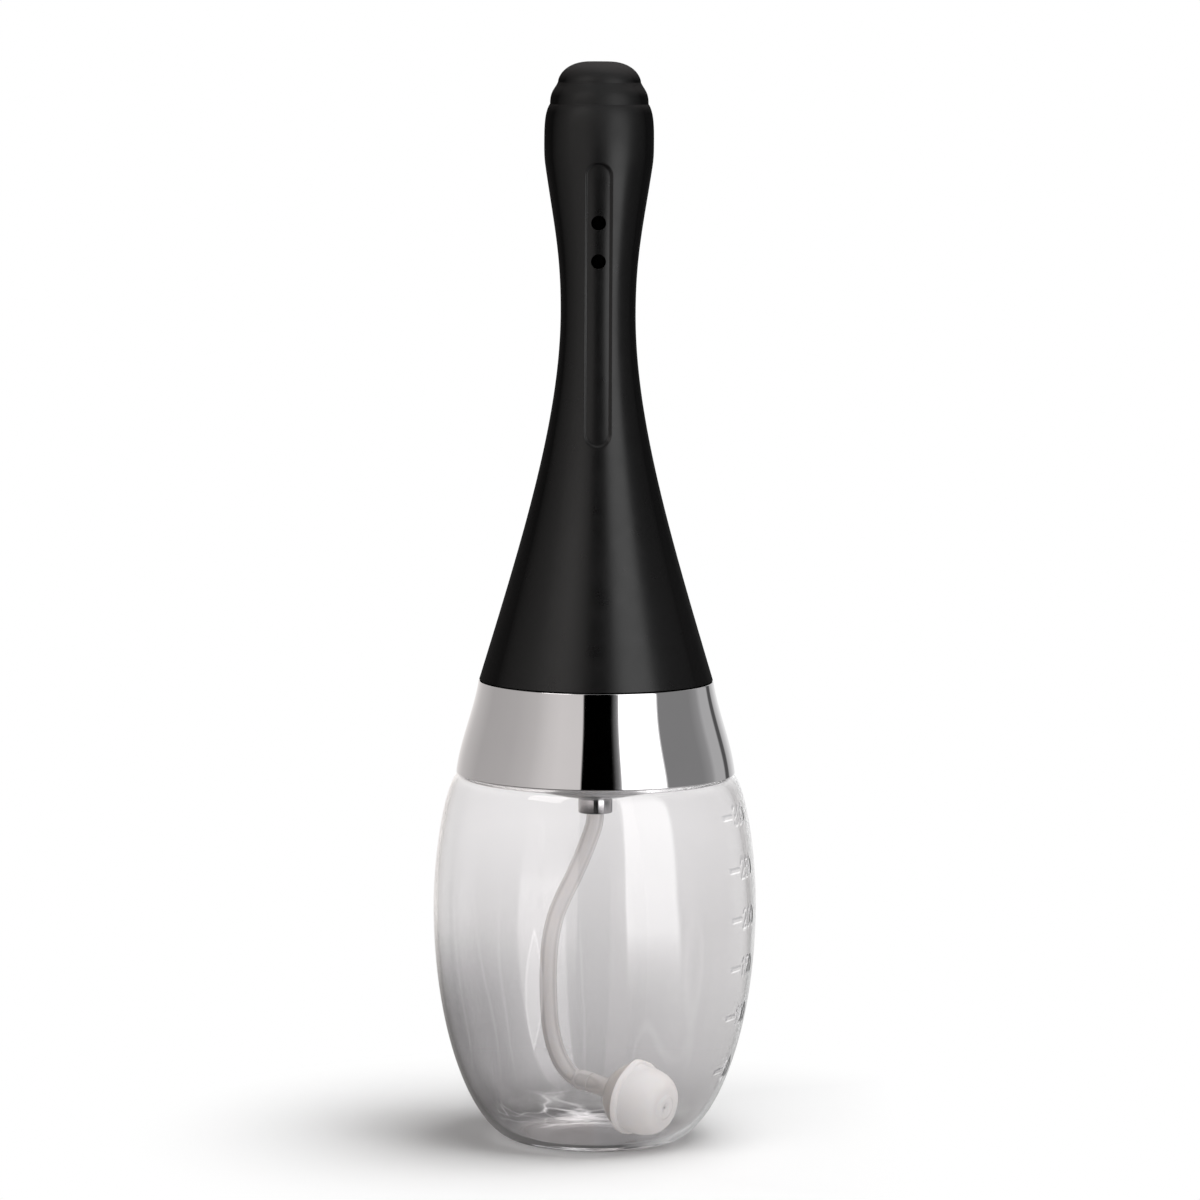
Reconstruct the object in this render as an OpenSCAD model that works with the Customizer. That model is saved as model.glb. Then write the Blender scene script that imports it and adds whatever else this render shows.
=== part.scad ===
// Squeeze bulb with a screw collar, a long shower nozzle and a weighted suction hose.
// Millimetres, +Z up. The origin is the centre of the foot ring, on the surface it stands on.
// The slotted front of the nozzle and the inlet of the hose weight face -Y.

/* [Bulb] */
// Widest diameter of the bulb
bulb_d = 77.9; // [74:0.1:82]
// Height of the widest place
bulb_wide_z = 57; // [54:0.5:60]
// Outer diameter of the flat foot ring
foot_d = 36; // [32:0.5:40]
// Width of the flat foot ring
foot_w = 1.5; // [1:0.1:3]
// Rise of the base inside the foot ring
pushup_h = 1; // [0.4:0.1:1.4]
// Height of the flat shoulder under the collar
shoulder_z = 89.1; // [86:0.1:92]
// Diameter where the side starts to round into the shoulder
shoulder_d = 70.6; // [69.5:0.1:72]
// Height of that rounding
shoulder_round = 4.1; // [3:0.1:5]
// Thickness of the side wall
bulb_wall = 2; // [1.2:0.1:2.6]
// Thickness of the base
base_wall = 1.4; // [1:0.1:1.8]

/* [Neck] */
// Bore of the neck, through which the hose weight passes
neck_bore_d = 49.4; // [48.8:0.1:50]
// Thickness of the neck wall
neck_wall = 1.7; // [1.2:0.1:1.9]
// Height of the neck above the shoulder
neck_h = 14.9; // [13:0.1:17]
// Thickness of the flat seal on the neck rim
gasket_t = 1.2; // [0.8:0.1:2]

/* [Graduation] */
// Volume between two marks, in millilitres
mark_step_ml = 50; // [25:5:60]
// Number of marks
mark_count = 6; // [1:1:6]
// Length of a mark along the wall, in degrees
mark_angle = 9; // [5:1:14]
// Direction of the middle of the marks, turned from the front towards +X
mark_turn = 62.5; // [40:0.5:80]
// Height of a mark
mark_h = 1; // [0.6:0.1:1.6]
// How far a mark stands out
mark_proud = 0.4; // [0.2:0.1:0.6]

/* [Collar] */
// Gap between the shoulder and the collar
collar_lift = 0.35; // [0.3:0.05:0.8]
// Diameter of the collar's lower edge
collar_foot_d = 67.2; // [66.6:0.1:68]
// Inward lean of the collar at its lower edge
collar_foot_lean = 0.1; // [0:0.02:0.2]
// Inward lean of the collar at its top edge
collar_top_lean = 0.15; // [0:0.02:0.25]
// Thickness of the collar's skirt
collar_wall = 1.6; // [1:0.1:1.8]
// Thickness of the collar's top web
collar_web = 2; // [1.4:0.1:2.6]
// Clearance between the neck and the bore of the threaded sleeve, for the thread
thread_gap = 1.2; // [1:0.1:1.4]
// Height of the shell's bore above the threaded sleeve
collar_bore_h = 6.9; // [6.5:0.1:7.5]

/* [Dome cup] */
// Diameter of the ball that the dome is cut from
dome_d = 61.4; // [58:0.1:70]
// Thickness of the cup's flange
flange_t = 4; // [3:0.1:4.5]
// Thickness of the cup's wall above its ledge
cup_wall = 2.9; // [2:0.1:3.1]
// Thickness of the dome
dome_wall = 1.8; // [1.2:0.1:2.4]
// Depth of the socket that the nozzle core stands in
socket_h = 9.7; // [8:0.1:10.4]
// Width of the ledge at the bottom of the socket
ledge_w = 2; // [1.5:0.1:2.6]
// Height of the dome cup below the neck rim
dome_drop = 21; // [20:0.1:21.5]

/* [Nozzle] */
// Height of the nozzle above the collar
nozzle_h = 148; // [146:0.5:160]
// Diameter of the flared base
nozzle_base_d = 56.2; // [55.6:0.1:57]
// Diameter of the waist
waist_d = 17.96; // [17.4:0.02:20]
// Height of the waist above the base
waist_h = 88.2; // [84:0.2:94]
// Diameter of the head
head_d = 26.2; // [24.6:0.1:28]
// Height of the widest part of the head above the base
head_h = 129.2; // [127:0.2:131]
// Diameter of the middle step of the tip
step_d = 23.5; // [22.5:0.1:24]
// Diameter of the top step of the tip
tip_d = 19.8; // [19:0.1:21]
// Thickness of the soft sleeve
skin_t = 2.5; // [1.6:0.1:3]
// Thickness of the rigid core's cone
core_wall = 2; // [1.4:0.1:2.6]
// Diameter of the water channel in the core
channel_d = 6; // [4:0.1:6.6]
// Diameter of the outlet in the tip
tip_hole_d = 3; // [2:0.1:4]

/* [Outlet slot] */
// Width of the outlet slot
slot_w = 6.1; // [5:0.1:7]
// Height of the slot's lower end above the nozzle base
slot_low = 57; // [52:0.5:66]
// Length of the slot
slot_l = 67; // [58:0.5:70]
// Depth of the slot
slot_depth = 0.6; // [0.3:0.1:1]
// Diameter of an outlet hole
hole_d = 3.55; // [2.5:0.05:4.2]
// Height of the lower hole above the nozzle base
hole_low = 100.7; // [96:0.1:104]
// Distance between the two holes
hole_pitch = 9.2; // [7:0.1:12]

/* [Valve and riser] */
// Diameter of the valve ball
ball_d = 6; // [5:0.1:6.4]
// Rise of the valve ball when water flows
ball_travel = 1.5; // [1:0.1:2]
// Diameter of the riser tube
riser_d = 8; // [7:0.1:8.6]
// Bore of the riser tube
riser_bore_d = 5.2; // [4:0.1:5.8]
// Outer diameter of the valve body
valve_d = 10.4; // [9.8:0.1:11]
// Distance of the air valve behind the middle of the dome
air_valve_y = 13; // [11:0.1:13.6]
// Diameter of the air valve's flap
flap_d = 7; // [6:0.1:7.4]

/* [Hose and weight] */
// Outer diameter of the hose
hose_d = 4.2; // [3.8:0.05:4.6]
// Bore of the hose
hose_bore_d = 2.9; // [2.4:0.05:3]
// Diameter of the hose nut
nut_d = 8.3; // [8.1:0.1:9.4]
// Height of the hose nut below the dome
nut_h = 3.8; // [3.4:0.1:4.4]
// Diameter of the hose weight's body
weight_d = 17.5; // [16.5:0.1:17.8]
// Diameter of the hose weight's rim
rim_d = 18.3; // [18:0.1:18.6]
// Width of the rim
rim_w = 1.6; // [1:0.1:2.4]
// How far the rim lies behind the middle of the weight
rim_back = 1.2; // [0.8:0.1:1.8]
// Thickness of the weight's shell
weight_wall = 1.2; // [0.8:0.1:1.8]
// Diameter of the stub between the weight and the hose
stub_d = 4; // [3.6:0.1:4.6]
// Distance from the middle of the weight to the end of the hose
stub_reach = 14.5; // [13:0.1:15]
// Diameter of the inlet in the front of the weight
inlet_d = 2; // [1.4:0.1:2.6]

/* [Clearances] */
// Between bonded or pressed pieces
seat_gap = 0.15; // [0.1:0.05:0.2]
// Between pieces that move on each other
run_gap = 0.3; // [0.3:0.05:0.4]
// Between the dome cup and the neck bore
cup_gap = 0.4; // [0.3:0.05:0.6]

/* [Hidden] */
$fn = 96;
eps = 0.01;

// Heights of the stack
rim_z = shoulder_z + neck_h;
flange_z = rim_z + gasket_t;
flange_top = flange_z + flange_t;
collar_low = shoulder_z + collar_lift;
web_z = flange_top + run_gap;
collar_top = web_z + collar_web;
nozzle_z = collar_top + run_gap;
dome_low = rim_z - dome_drop;
dome_mid = dome_low + dome_d / 2;
socket_z = flange_top - socket_h;

// Radii that seat in each other
slip_gap = 0.1;
neck_r = neck_bore_d / 2 + neck_wall;
cup_r = neck_bore_d / 2 - cup_gap;
flange_r = neck_r + slip_gap;
shell_bore_r = flange_r + cup_gap;
socket_r = cup_r - cup_wall;
spigot_r = socket_r - seat_gap;
web_bore_r = spigot_r + run_gap;
sleeve_bore_r = neck_r + thread_gap;
sleeve_top = web_z - collar_bore_h;
sleeve_rise = 1;
collar_top_d = nozzle_base_d + 2 * seat_gap;

// Points on a cubic curve through p[0] and p[3], drawn towards p[1] and p[2]
function curve(p, n) = [for (i = [0:n]) let (t = i / n, s = 1 - t)
    s * s * s * p[0] + 3 * s * s * t * p[1] + 3 * s * t * t * p[2] + t * t * t * p[3]];
// A path without its first point, to follow on from the path before it
function tail(path) = [for (i = [1:len(path) - 1]) path[i]];
// A path moved sideways by d, to the left of its direction
function unit(v) = v / norm(v);
function heading(path, i) = unit(path[min(i + 1, len(path) - 1)] - path[max(i - 1, 0)]);
function shifted(path, d) = [for (i = [0:len(path) - 1])
    let (h = heading(path, i)) path[i] + d * [-h[1], h[0]]];
function reversed(path) = [for (i = [len(path) - 1:-1:0]) path[i]];
// The part of a path between two heights, and the radius of a rising path at a height
function between(path, low, high) = [for (p = path) if (p[1] > low && p[1] < high) p];
function radius_at(path, z) = lookup(z, [for (p = path) [p[1], p[0]]]);

// Outline of the bulb, from the middle of its base up to the shoulder, a wall w and a base b inwards
bulb_r = bulb_d / 2;
foot_r = foot_d / 2;
foot_in = foot_r - foot_w;
foot_pull = 11.15;
wide_pull = 31.25;
side_pull = 9;
side_lean = 0.33;
lean_pull = 7;
corner_w = 3.3;
corner_pull = 2.2;
ledge_pull = 1.9;
neck_root = 0.8;
side_z = shoulder_z - shoulder_round;
function dish(b) = curve([[0, b + pushup_h], [foot_in / 2, b + pushup_h], [foot_in / 2, b], [foot_in, b]], 6);
function bulb_low(w, b) = let (r = bulb_r - w)
    curve([[foot_r - w / 2, b], [foot_r - w / 2 + foot_pull, b], [r, bulb_wide_z - wide_pull],
    [r, bulb_wide_z]], 14);
function bulb_high(w) = let (r = shoulder_d / 2 - w)
    curve([[bulb_r - w, bulb_wide_z], [bulb_r - w, bulb_wide_z + side_pull],
    [r + side_lean * lean_pull, side_z - lean_pull], [r, side_z]], 8);
function bulb_corner(w) = let (r = shoulder_d / 2 - w, top = shoulder_z - w, rise = (top - side_z) / 2)
    curve([[r, side_z], [r - side_lean * rise, side_z + rise],
    [shoulder_d / 2 - corner_w + ledge_pull - w, top], [shoulder_d / 2 - corner_w, top]], 6);
function neck_line(r, top) = [[r + neck_root, top], [r, top + neck_root], [r, rim_z]];
function bulb_side(w, b) = concat(bulb_low(w, b), tail(bulb_high(w)));
function bulb_line(w, b) = concat(dish(b), bulb_side(w, b), tail(bulb_corner(w)));

// Volume in the bulb up to each height of its inner wall, and the height of a mark
function slice_ml(a, b) = PI * (b[1] - a[1]) * (a[0] * a[0] + a[0] * b[0] + b[0] * b[0]) / 3000;
function volumes(path, i = 1, sum = 0) = i >= len(path) ? [] :
    let (v = sum + slice_ml(path[i - 1], path[i])) concat([[v, path[i][1]]], volumes(path, i + 1, v));
bulb_volumes = volumes(bulb_side(bulb_wall, base_wall));
function mark_z(i) = lookup(i * mark_step_ml, bulb_volumes);

// Outline of the collar
collar_third = (collar_top - collar_low) / 3;
collar_line = curve([[collar_foot_d / 2, collar_low],
    [collar_foot_d / 2 - collar_foot_lean * collar_third, collar_low + collar_third],
    [collar_top_d / 2 + collar_top_lean * collar_third, collar_top - collar_third],
    [collar_top_d / 2, collar_top]], 12);

// Outline of the nozzle: flare, throat and head, then the rounded steps of its tip
base_r = nozzle_base_d / 2;
waist_r = waist_d / 2;
head_r = head_d / 2;
step_r = step_d / 2;
tip_r = tip_d / 2;
waist_z = nozzle_z + waist_h;
head_z = nozzle_z + head_h;
tip_z = nozzle_z + nozzle_h;
base_lean = 0.3016;
base_pull = 34.7;
waist_pull = 25;
throat_pull = 13;
cone_lean = 0.156;
cone_in = 0.66;
cone_drop = 8.4;
head_pull = 4;
cone_r = head_r - cone_in;
cone_z = head_z - cone_drop;
flare = curve([[base_r, nozzle_z], [base_r - base_lean * base_pull, nozzle_z + base_pull],
    [waist_r, waist_z - waist_pull], [waist_r, waist_z]], 14);
throat = curve([[waist_r, waist_z], [waist_r, waist_z + throat_pull],
    [cone_r - cone_lean * throat_pull, cone_z - throat_pull], [cone_r, cone_z]], 8);
head = curve([[cone_r, cone_z], [cone_r + cone_lean * head_pull, cone_z + head_pull],
    [head_r, head_z - head_pull], [head_r, head_z]], 4);
nozzle_side = concat(flare, tail(throat), tail(head));
brow_h = 8.4;
step_h = 4.8;
groove_h = 0.35;
tip_flat_r = 2.2;
brow_in = 0.2;
brow_drop = 1.8;
step_in = 0.1;
step_rise = 2.75;
step_lean = 0.75;
step_drop = 1.4;
cap_in = 0.3;
cap_full = 0.44;
cap_pull = 5;
brow_z = head_z + brow_h;
step_z = brow_z + groove_h;
cap_z = step_z + step_h + groove_h;
cap_rise = cap_full * (tip_z - cap_z);
brow = curve([[head_r, head_z], [head_r, head_z + brow_h / 2], [head_r - brow_in, brow_z - brow_drop],
    [step_r + brow_in, brow_z]], 5);
step = curve([[step_r, step_z], [step_r, step_z + step_rise],
    [tip_r + step_lean, step_z + step_h - step_drop], [tip_r + step_in, step_z + step_h]], 6);
cap = curve([[tip_r, cap_z], [tip_r - cap_in, cap_z + cap_rise], [tip_flat_r + cap_pull, tip_z],
    [tip_flat_r, tip_z]], 8);
nozzle_line = concat(nozzle_side, tail(brow), step, cap);

// The rigid core follows the soft sleeve's inner wall
core_in = skin_t + seat_gap;
crown_h = 8;
crown_in = 2.5;
crown_r = head_r - core_in - crown_in;
core_top = head_z + crown_h;
plate_h = 2.2;
riser_drop = 22;
riser_hold = 8;
cone_cap = 6;
plate_top = nozzle_z + plate_h;
riser_top = waist_z - riser_drop;
riser_seat = riser_top - riser_hold;
cone_top = riser_seat - cone_cap;
spigot_wall = 2.7;
riser_r = riser_d / 2;
channel_over = 8;
channel_top = nozzle_z + hole_low + hole_pitch + channel_over;
o_ring_d = 1.2;
o_ring_h = 3.9;
o_ring_z = socket_z + o_ring_h;
groove_half = 0.75 * o_ring_d;
vent_d = 1.4;

// Valve body: shank through the dome, barb for the hose, flange, ball seat and ball chamber
nut_wall = 1.25;
barb_wall = 0.4;
barb_h = 2.4;
spot_depth = 0.2;
nut_cover = 1;
body_flange = 1.6;
flange_w = 1.8;
seat_floor = 0.2;
chamber_gap = 0.5;
shank_r = nut_d / 2 - nut_wall;
barb_r = hose_bore_d / 2 - seat_gap;
bore_r = barb_r - barb_wall;
boss_z = dome_low + dome_wall;
spot_z = dome_low + spot_depth;
nut_low = spot_z - nut_h;
hose_top = spot_z - nut_cover;
body_flange_r = valve_d / 2 + flange_w;
body_low = boss_z + body_flange;
seat_z = body_low + seat_floor;
chamber_r = ball_d / 2 + chamber_gap;
seat_h = chamber_r - bore_r;
ball_z = seat_z - bore_r + (ball_d / 2 + run_gap) * sqrt(2);
body_top = ball_z + ball_d / 2 + ball_travel + run_gap;

// Valve cap: skirt over the valve body, stop for the ball and socket for the riser
cap_skirt = 3;
cap_wall = 1.4;
cap_web = 3.6;
cap_socket = 4.5;
stop_slot = 1.4;
cap_seat = body_top + cap_web;
cap_high = cap_seat + cap_socket;

// Air valve: its seat is level with the dome's underside at the seat's outer edge
flap_gap = 0.5;
flap_t = 0.9;
stem_d = 1.7;
slit_d = 1.2;
slit_r = stem_d / 2 + 1.25;
spot_r = flap_d / 2 + flap_gap;
spot_wall = 1.6;
air_seat_z = dome_mid - sqrt(pow(dome_d / 2, 2) - pow(air_valve_y + spot_r, 2));

// Middle line of the hose, from the valve body down to the end of the weight's stub
hose_route = [[0, 0, hose_top], [0, 0, hose_top - 3.2], [-0.3, 0, 76.4], [-1.4, 0.1, 73], [-3.1, 0.4, 68.5],
    [-5.2, 0.9, 63.6], [-7.6, 1.5, 58.5], [-9.6, 2.2, 53.2], [-10.8, 2.8, 47], [-11.2, 3.3, 40],
    [-11.1, 3.6, 33], [-10.6, 3.7, 26.5], [-9.3, 3.4, 21], [-7.2, 2.5, 16.8], [-4.4, 0.7, 14.35],
    [-0.5, -2.3, 13.6]];

// The weight hangs on the hose's last stretch and points along it
hose_end = hose_route[len(hose_route) - 1];
weight_dir = unit(hose_end - hose_route[len(hose_route) - 2]);
weight_mid = hose_end + stub_reach * weight_dir;
weight_tilt = acos(weight_dir[2]);
weight_turn = atan2(weight_dir[1], weight_dir[0]);
weight_r = weight_d / 2;
weight_in_r = weight_r - weight_wall;
rim_front = rim_w / 2 - rim_back;
weight_barb = 4;
shoulder_in = 0.45;
shoulder_lean = 0.2;
front_rise = 4.2;
front_pull = 2.8;
face_in = 0.95;
mouth_in = 0.35;
mouth_r = 3;
mouth_slope = 0.4;
shoulder_r = weight_r - shoulder_in;
face_r = weight_r / 2;
face_z = weight_r - face_in;
mouth_z = weight_r - mouth_in;
// Outline of the weight's front, from its rim over the shoulder to the low boss round the inlet
weight_front = concat(curve([[shoulder_r, rim_front], [shoulder_r + shoulder_lean, rim_front + front_rise],
    [face_r + front_pull, face_z], [face_r, face_z]], 10),
    [[mouth_r, face_z], [mouth_r - mouth_slope, mouth_z]]);
slug_half = 3.9;
slug_r = sqrt(pow(weight_in_r, 2) - pow(slug_half, 2)) - seat_gap;

module ring(outer, inner, h) {
    difference() {
        cylinder(r = outer, h = h);
        translate([0, 0, -eps]) cylinder(r = inner, h = h + 2 * eps);
    }
}

module marks() {
    band = concat(shifted(bulb_side(0, 0), -mark_proud), reversed(bulb_side(bulb_wall / 2, base_wall / 2)));
    for (i = [1:mark_count]) {
        intersection() {
            rotate_extrude() polygon(band);
            rotate([0, 0, mark_turn - 90 - mark_angle / 2]) rotate_extrude(angle = mark_angle)
                translate([foot_r, mark_z(i) - mark_h / 2]) square([bulb_r, mark_h]);
        }
    }
}

module squeeze_bulb() {
    outer = concat(bulb_line(0, 0), neck_line(neck_r, shoulder_z));
    inner = concat(bulb_line(bulb_wall, base_wall), neck_line(neck_r - neck_wall, shoulder_z - bulb_wall));
    color([0.88, 0.89, 0.9, 0.35]) union() {
        rotate_extrude() polygon(concat(outer, reversed(inner)));
        marks();
    }
}

module neck_gasket() {
    color([0.93, 0.93, 0.92]) translate([0, 0, rim_z]) ring(neck_r, cup_r + run_gap, gasket_t);
}

module collar_shell() {
    line = shifted(collar_line, collar_wall);
    low_r = collar_foot_d / 2 - collar_wall;
    color([0.78, 0.78, 0.8]) rotate_extrude() polygon(concat(collar_line,
        [[web_bore_r, collar_top], [web_bore_r, web_z], [shell_bore_r, web_z], [shell_bore_r, sleeve_top],
        [radius_at(line, sleeve_top), sleeve_top]], reversed(between(line, collar_low, sleeve_top)),
        [[low_r, collar_low]]));
}

module collar_sleeve() {
    line = shifted(collar_line, collar_wall + seat_gap);
    low = collar_low + sleeve_rise;
    color([0.15, 0.15, 0.16]) rotate_extrude() polygon(concat([[radius_at(line, low), low]],
        between(line, low, sleeve_top), [[radius_at(line, sleeve_top), sleeve_top],
        [sleeve_bore_r, sleeve_top], [sleeve_bore_r, low]]));
}

// Ball of radius r on the dome's centre below it, and a straight wall above, trimmed to wall_r
module dome_body(r, wall_r, low, top) {
    intersection() {
        translate([0, 0, low]) cylinder(r = wall_r, h = top - low);
        union() {
            translate([0, 0, dome_mid]) sphere(r = r);
            translate([0, 0, dome_mid]) cylinder(r = wall_r, h = top - dome_low);
        }
    }
}

module at_air_valve(z) {
    translate([0, air_valve_y, z]) children();
}

module dome_cup() {
    color([0.8, 0.8, 0.82]) difference() {
        union() {
            translate([0, 0, flange_z]) cylinder(r = flange_r, h = flange_t);
            dome_body(dome_d / 2, cup_r, dome_low, flange_top);
        }
        translate([0, 0, socket_z]) cylinder(r = socket_r, h = socket_h + eps);
        difference() {
            dome_body(dome_d / 2 - dome_wall, socket_r - ledge_w, boss_z, socket_z + eps);
            at_air_valve(dome_low) cylinder(r = spot_r + 1, h = air_seat_z + spot_wall - dome_low);
        }
        translate([0, 0, dome_low - eps]) cylinder(r = nut_d / 2 + 0.4, h = spot_z - dome_low + eps);
        translate([0, 0, dome_low]) cylinder(r = shank_r + seat_gap, h = 2 * dome_wall);
        translate([0, 0, boss_z]) cylinder(r = body_flange_r + seat_gap, h = body_flange);
        at_air_valve(dome_low - eps) cylinder(r = spot_r, h = air_seat_z - dome_low + eps);
        at_air_valve(air_seat_z - eps) {
            cylinder(d = stem_d + 2 * seat_gap, h = 2 * spot_wall);
            for (a = [45:90:315]) rotate([0, 0, a]) translate([slit_r, 0, 0])
                cylinder(d = slit_d, h = 2 * spot_wall);
        }
    }
}

module nozzle_core() {
    outer = shifted(nozzle_side, core_in);
    wall = shifted(nozzle_side, core_in + core_wall);
    spigot_in = spigot_r - spigot_wall;
    color([0.2, 0.2, 0.21]) difference() {
        union() {
            rotate_extrude() polygon(concat([[0, nozzle_z], [outer[0][0], nozzle_z]], tail(outer),
                [[crown_r, core_top], [0, core_top]]));
            translate([0, 0, socket_z]) cylinder(r = spigot_r, h = nozzle_z - socket_z + eps);
        }
        rotate_extrude() polygon(concat([[0, socket_z - eps], [spigot_in, socket_z - eps],
            [spigot_in, plate_top], [radius_at(wall, plate_top), plate_top]],
            between(wall, plate_top, cone_top), [[radius_at(wall, cone_top), cone_top],
            [riser_r, riser_seat], [0, riser_seat]]));
        translate([0, 0, riser_seat - eps]) cylinder(r = riser_r + slip_gap, h = riser_top - riser_seat);
        translate([0, 0, riser_seat]) cylinder(d = channel_d, h = channel_top - riser_seat);
        cylinder(d = tip_hole_d, h = tip_z);
        outlet_holes();
        vent_holes();
        translate([0, 0, o_ring_z - groove_half]) ring(spigot_r + 1, spigot_r - o_ring_d, 2 * groove_half);
    }
}

// From the front into the water channel
module outlet_holes() {
    for (z = [hole_low, hole_low + hole_pitch]) {
        translate([0, -head_d, nozzle_z + z]) rotate([-90, 0, 0]) cylinder(d = hole_d, h = head_d);
    }
}

module vent_holes() {
    for (a = [0, 90]) {
        translate([0, 0, web_z + collar_web / 2]) rotate([90, 0, a]) translate([0, 0, -web_bore_r])
            cylinder(d = vent_d, h = 2 * web_bore_r);
    }
}

module core_o_ring() {
    color([0.1, 0.1, 0.1]) translate([0, 0, o_ring_z]) rotate_extrude()
        translate([spigot_r - o_ring_d / 2 + 0.05, 0]) circle(d = o_ring_d, $fn = 24);
}

module slot_outline() {
    end_r = slot_w / 2;
    translate([0, end_r]) circle(r = end_r);
    translate([0, slot_l - end_r]) circle(r = end_r);
    translate([-end_r, end_r]) square([slot_w, slot_l - slot_w]);
}

module nozzle_sleeve() {
    inner = shifted(nozzle_side, skin_t);
    floor_line = shifted(nozzle_side, slot_depth);
    color([0.07, 0.07, 0.075]) difference() {
        rotate_extrude() polygon(concat(nozzle_line, [[0, tip_z], [0, core_top + seat_gap],
            [crown_r, core_top + seat_gap]], reversed(tail(inner)), [[inner[0][0], nozzle_z]]));
        difference() {
            translate([0, 0, nozzle_z + slot_low]) rotate([90, 0, 0]) linear_extrude(base_r) slot_outline();
            rotate_extrude() polygon(concat([[0, nozzle_z]], floor_line, [[0, head_z]]));
        }
        translate([0, 0, head_z]) cylinder(d = tip_hole_d, h = tip_z);
        outlet_holes();
    }
}

module valve_body() {
    color([0.72, 0.62, 0.4]) difference() {
        union() {
            translate([0, 0, hose_top - barb_h]) cylinder(r = barb_r, h = barb_h + eps);
            translate([0, 0, hose_top]) cylinder(r = shank_r, h = boss_z - hose_top);
            translate([0, 0, boss_z]) cylinder(r = body_flange_r, h = body_flange);
            translate([0, 0, body_low - eps]) cylinder(d = valve_d, h = body_top - body_low + eps);
        }
        translate([0, 0, nut_low]) cylinder(r = bore_r, h = seat_z - nut_low);
        translate([0, 0, seat_z - eps]) cylinder(r1 = bore_r, r2 = chamber_r, h = seat_h);
        translate([0, 0, seat_z + seat_h - 2 * eps]) cylinder(r = chamber_r, h = body_top - seat_z);
    }
}

module check_ball() {
    color([0.75, 0.76, 0.78]) translate([0, 0, ball_z]) sphere(d = ball_d);
}

module valve_cap() {
    color([0.85, 0.85, 0.83]) difference() {
        union() {
            translate([0, 0, body_top - cap_skirt])
                cylinder(r = valve_d / 2 + cap_wall, h = cap_skirt + cap_web);
            translate([0, 0, cap_seat - eps]) cylinder(r = riser_r + cap_wall, h = cap_socket + eps);
        }
        translate([0, 0, body_top - cap_skirt - eps])
            cylinder(r = valve_d / 2 + slip_gap, h = cap_skirt + eps);
        translate([0, 0, cap_seat]) cylinder(r = riser_r + slip_gap, h = cap_socket + eps);
        translate([0, 0, body_top - eps]) cylinder(d = ball_d / 2, h = cap_web + 2 * eps);
        for (a = [0, 90]) rotate([0, 0, a]) translate([-ball_d / 2, -stop_slot / 2, body_top - eps])
            cube([ball_d, stop_slot, cap_web + 2 * eps]);
    }
}

module riser_tube() {
    color([0.9, 0.9, 0.88]) translate([0, 0, cap_seat])
        ring(riser_r, riser_bore_d / 2, riser_top - cap_seat - slip_gap);
}

module air_valve() {
    head_z = spot_wall + slip_gap;
    color([0.12, 0.12, 0.12]) at_air_valve(air_seat_z) {
        translate([0, 0, -flap_t]) cylinder(d = flap_d, h = flap_t);
        translate([0, 0, -eps]) cylinder(d = stem_d, h = head_z + 2 * eps);
        translate([0, 0, head_z]) cylinder(d1 = stem_d * 1.6, d2 = stem_d * 0.7, h = stem_d);
    }
}

module hose_nut() {
    color([0.8, 0.8, 0.82]) difference() {
        translate([0, 0, nut_low]) cylinder(d = nut_d, h = nut_h);
        translate([0, 0, nut_low - eps]) cylinder(r = hose_d / 2 + seat_gap, h = nut_h);
        translate([0, 0, hose_top]) cylinder(r = shank_r + slip_gap, h = nut_h);
    }
}

// Tube along a route: outer and inner rings square to it, joined by flat faces
module swept_tube(route, outer, inner, sides) {
    n = len(route);
    function across(i) = unit(cross(heading(route, i), [0, 1, 0]));
    function up(i) = cross(across(i), heading(route, i));
    function ring_at(i, r) = [for (k = [0:sides - 1])
        route[i] + r * cos(360 * k / sides) * across(i) + r * sin(360 * k / sides) * up(i)];
    points = [for (r = [outer, inner]) for (i = [0:n - 1]) each ring_at(i, r)];
    function at(layer, i, k) = layer * n * sides + i * sides + k % sides;
    walls = [for (i = [0:n - 2]) for (k = [0:sides - 1]) each [
        [at(0, i, k), at(0, i, k + 1), at(0, i + 1, k + 1)],
        [at(0, i, k), at(0, i + 1, k + 1), at(0, i + 1, k)],
        [at(1, i, k), at(1, i + 1, k + 1), at(1, i, k + 1)],
        [at(1, i, k), at(1, i + 1, k), at(1, i + 1, k + 1)]]];
    ends = [for (k = [0:sides - 1]) each [
        [at(0, 0, k), at(1, 0, k + 1), at(0, 0, k + 1)], [at(0, 0, k), at(1, 0, k), at(1, 0, k + 1)],
        [at(0, n - 1, k), at(0, n - 1, k + 1), at(1, n - 1, k + 1)],
        [at(0, n - 1, k), at(1, n - 1, k + 1), at(1, n - 1, k)]]];
    polyhedron(points, concat(walls, ends), convexity = 6);
}

module hose() {
    color([0.88, 0.87, 0.85]) swept_tube(hose_route, hose_d / 2, hose_bore_d / 2, 12);
}

// Frame of the weight: +Z along the hose's last stretch
module at_weight(z = 0) {
    translate(weight_mid) rotate([0, weight_tilt, weight_turn]) translate([0, 0, z]) children();
}

module weight_back_shell() {
    color([0.9, 0.89, 0.87]) difference() {
        union() {
            intersection() {
                at_weight() sphere(r = weight_r);
                at_weight(-weight_d) cylinder(r = weight_r, h = weight_d + rim_front - rim_w);
            }
            at_weight(-stub_reach) cylinder(d = stub_d, h = stub_reach - weight_in_r);
            at_weight(-stub_reach - weight_barb) cylinder(r = barb_r, h = weight_barb + eps);
        }
        at_weight() sphere(r = weight_in_r);
        at_weight(-stub_reach - weight_barb - eps) cylinder(r = bore_r, h = stub_reach);
    }
}

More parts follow.
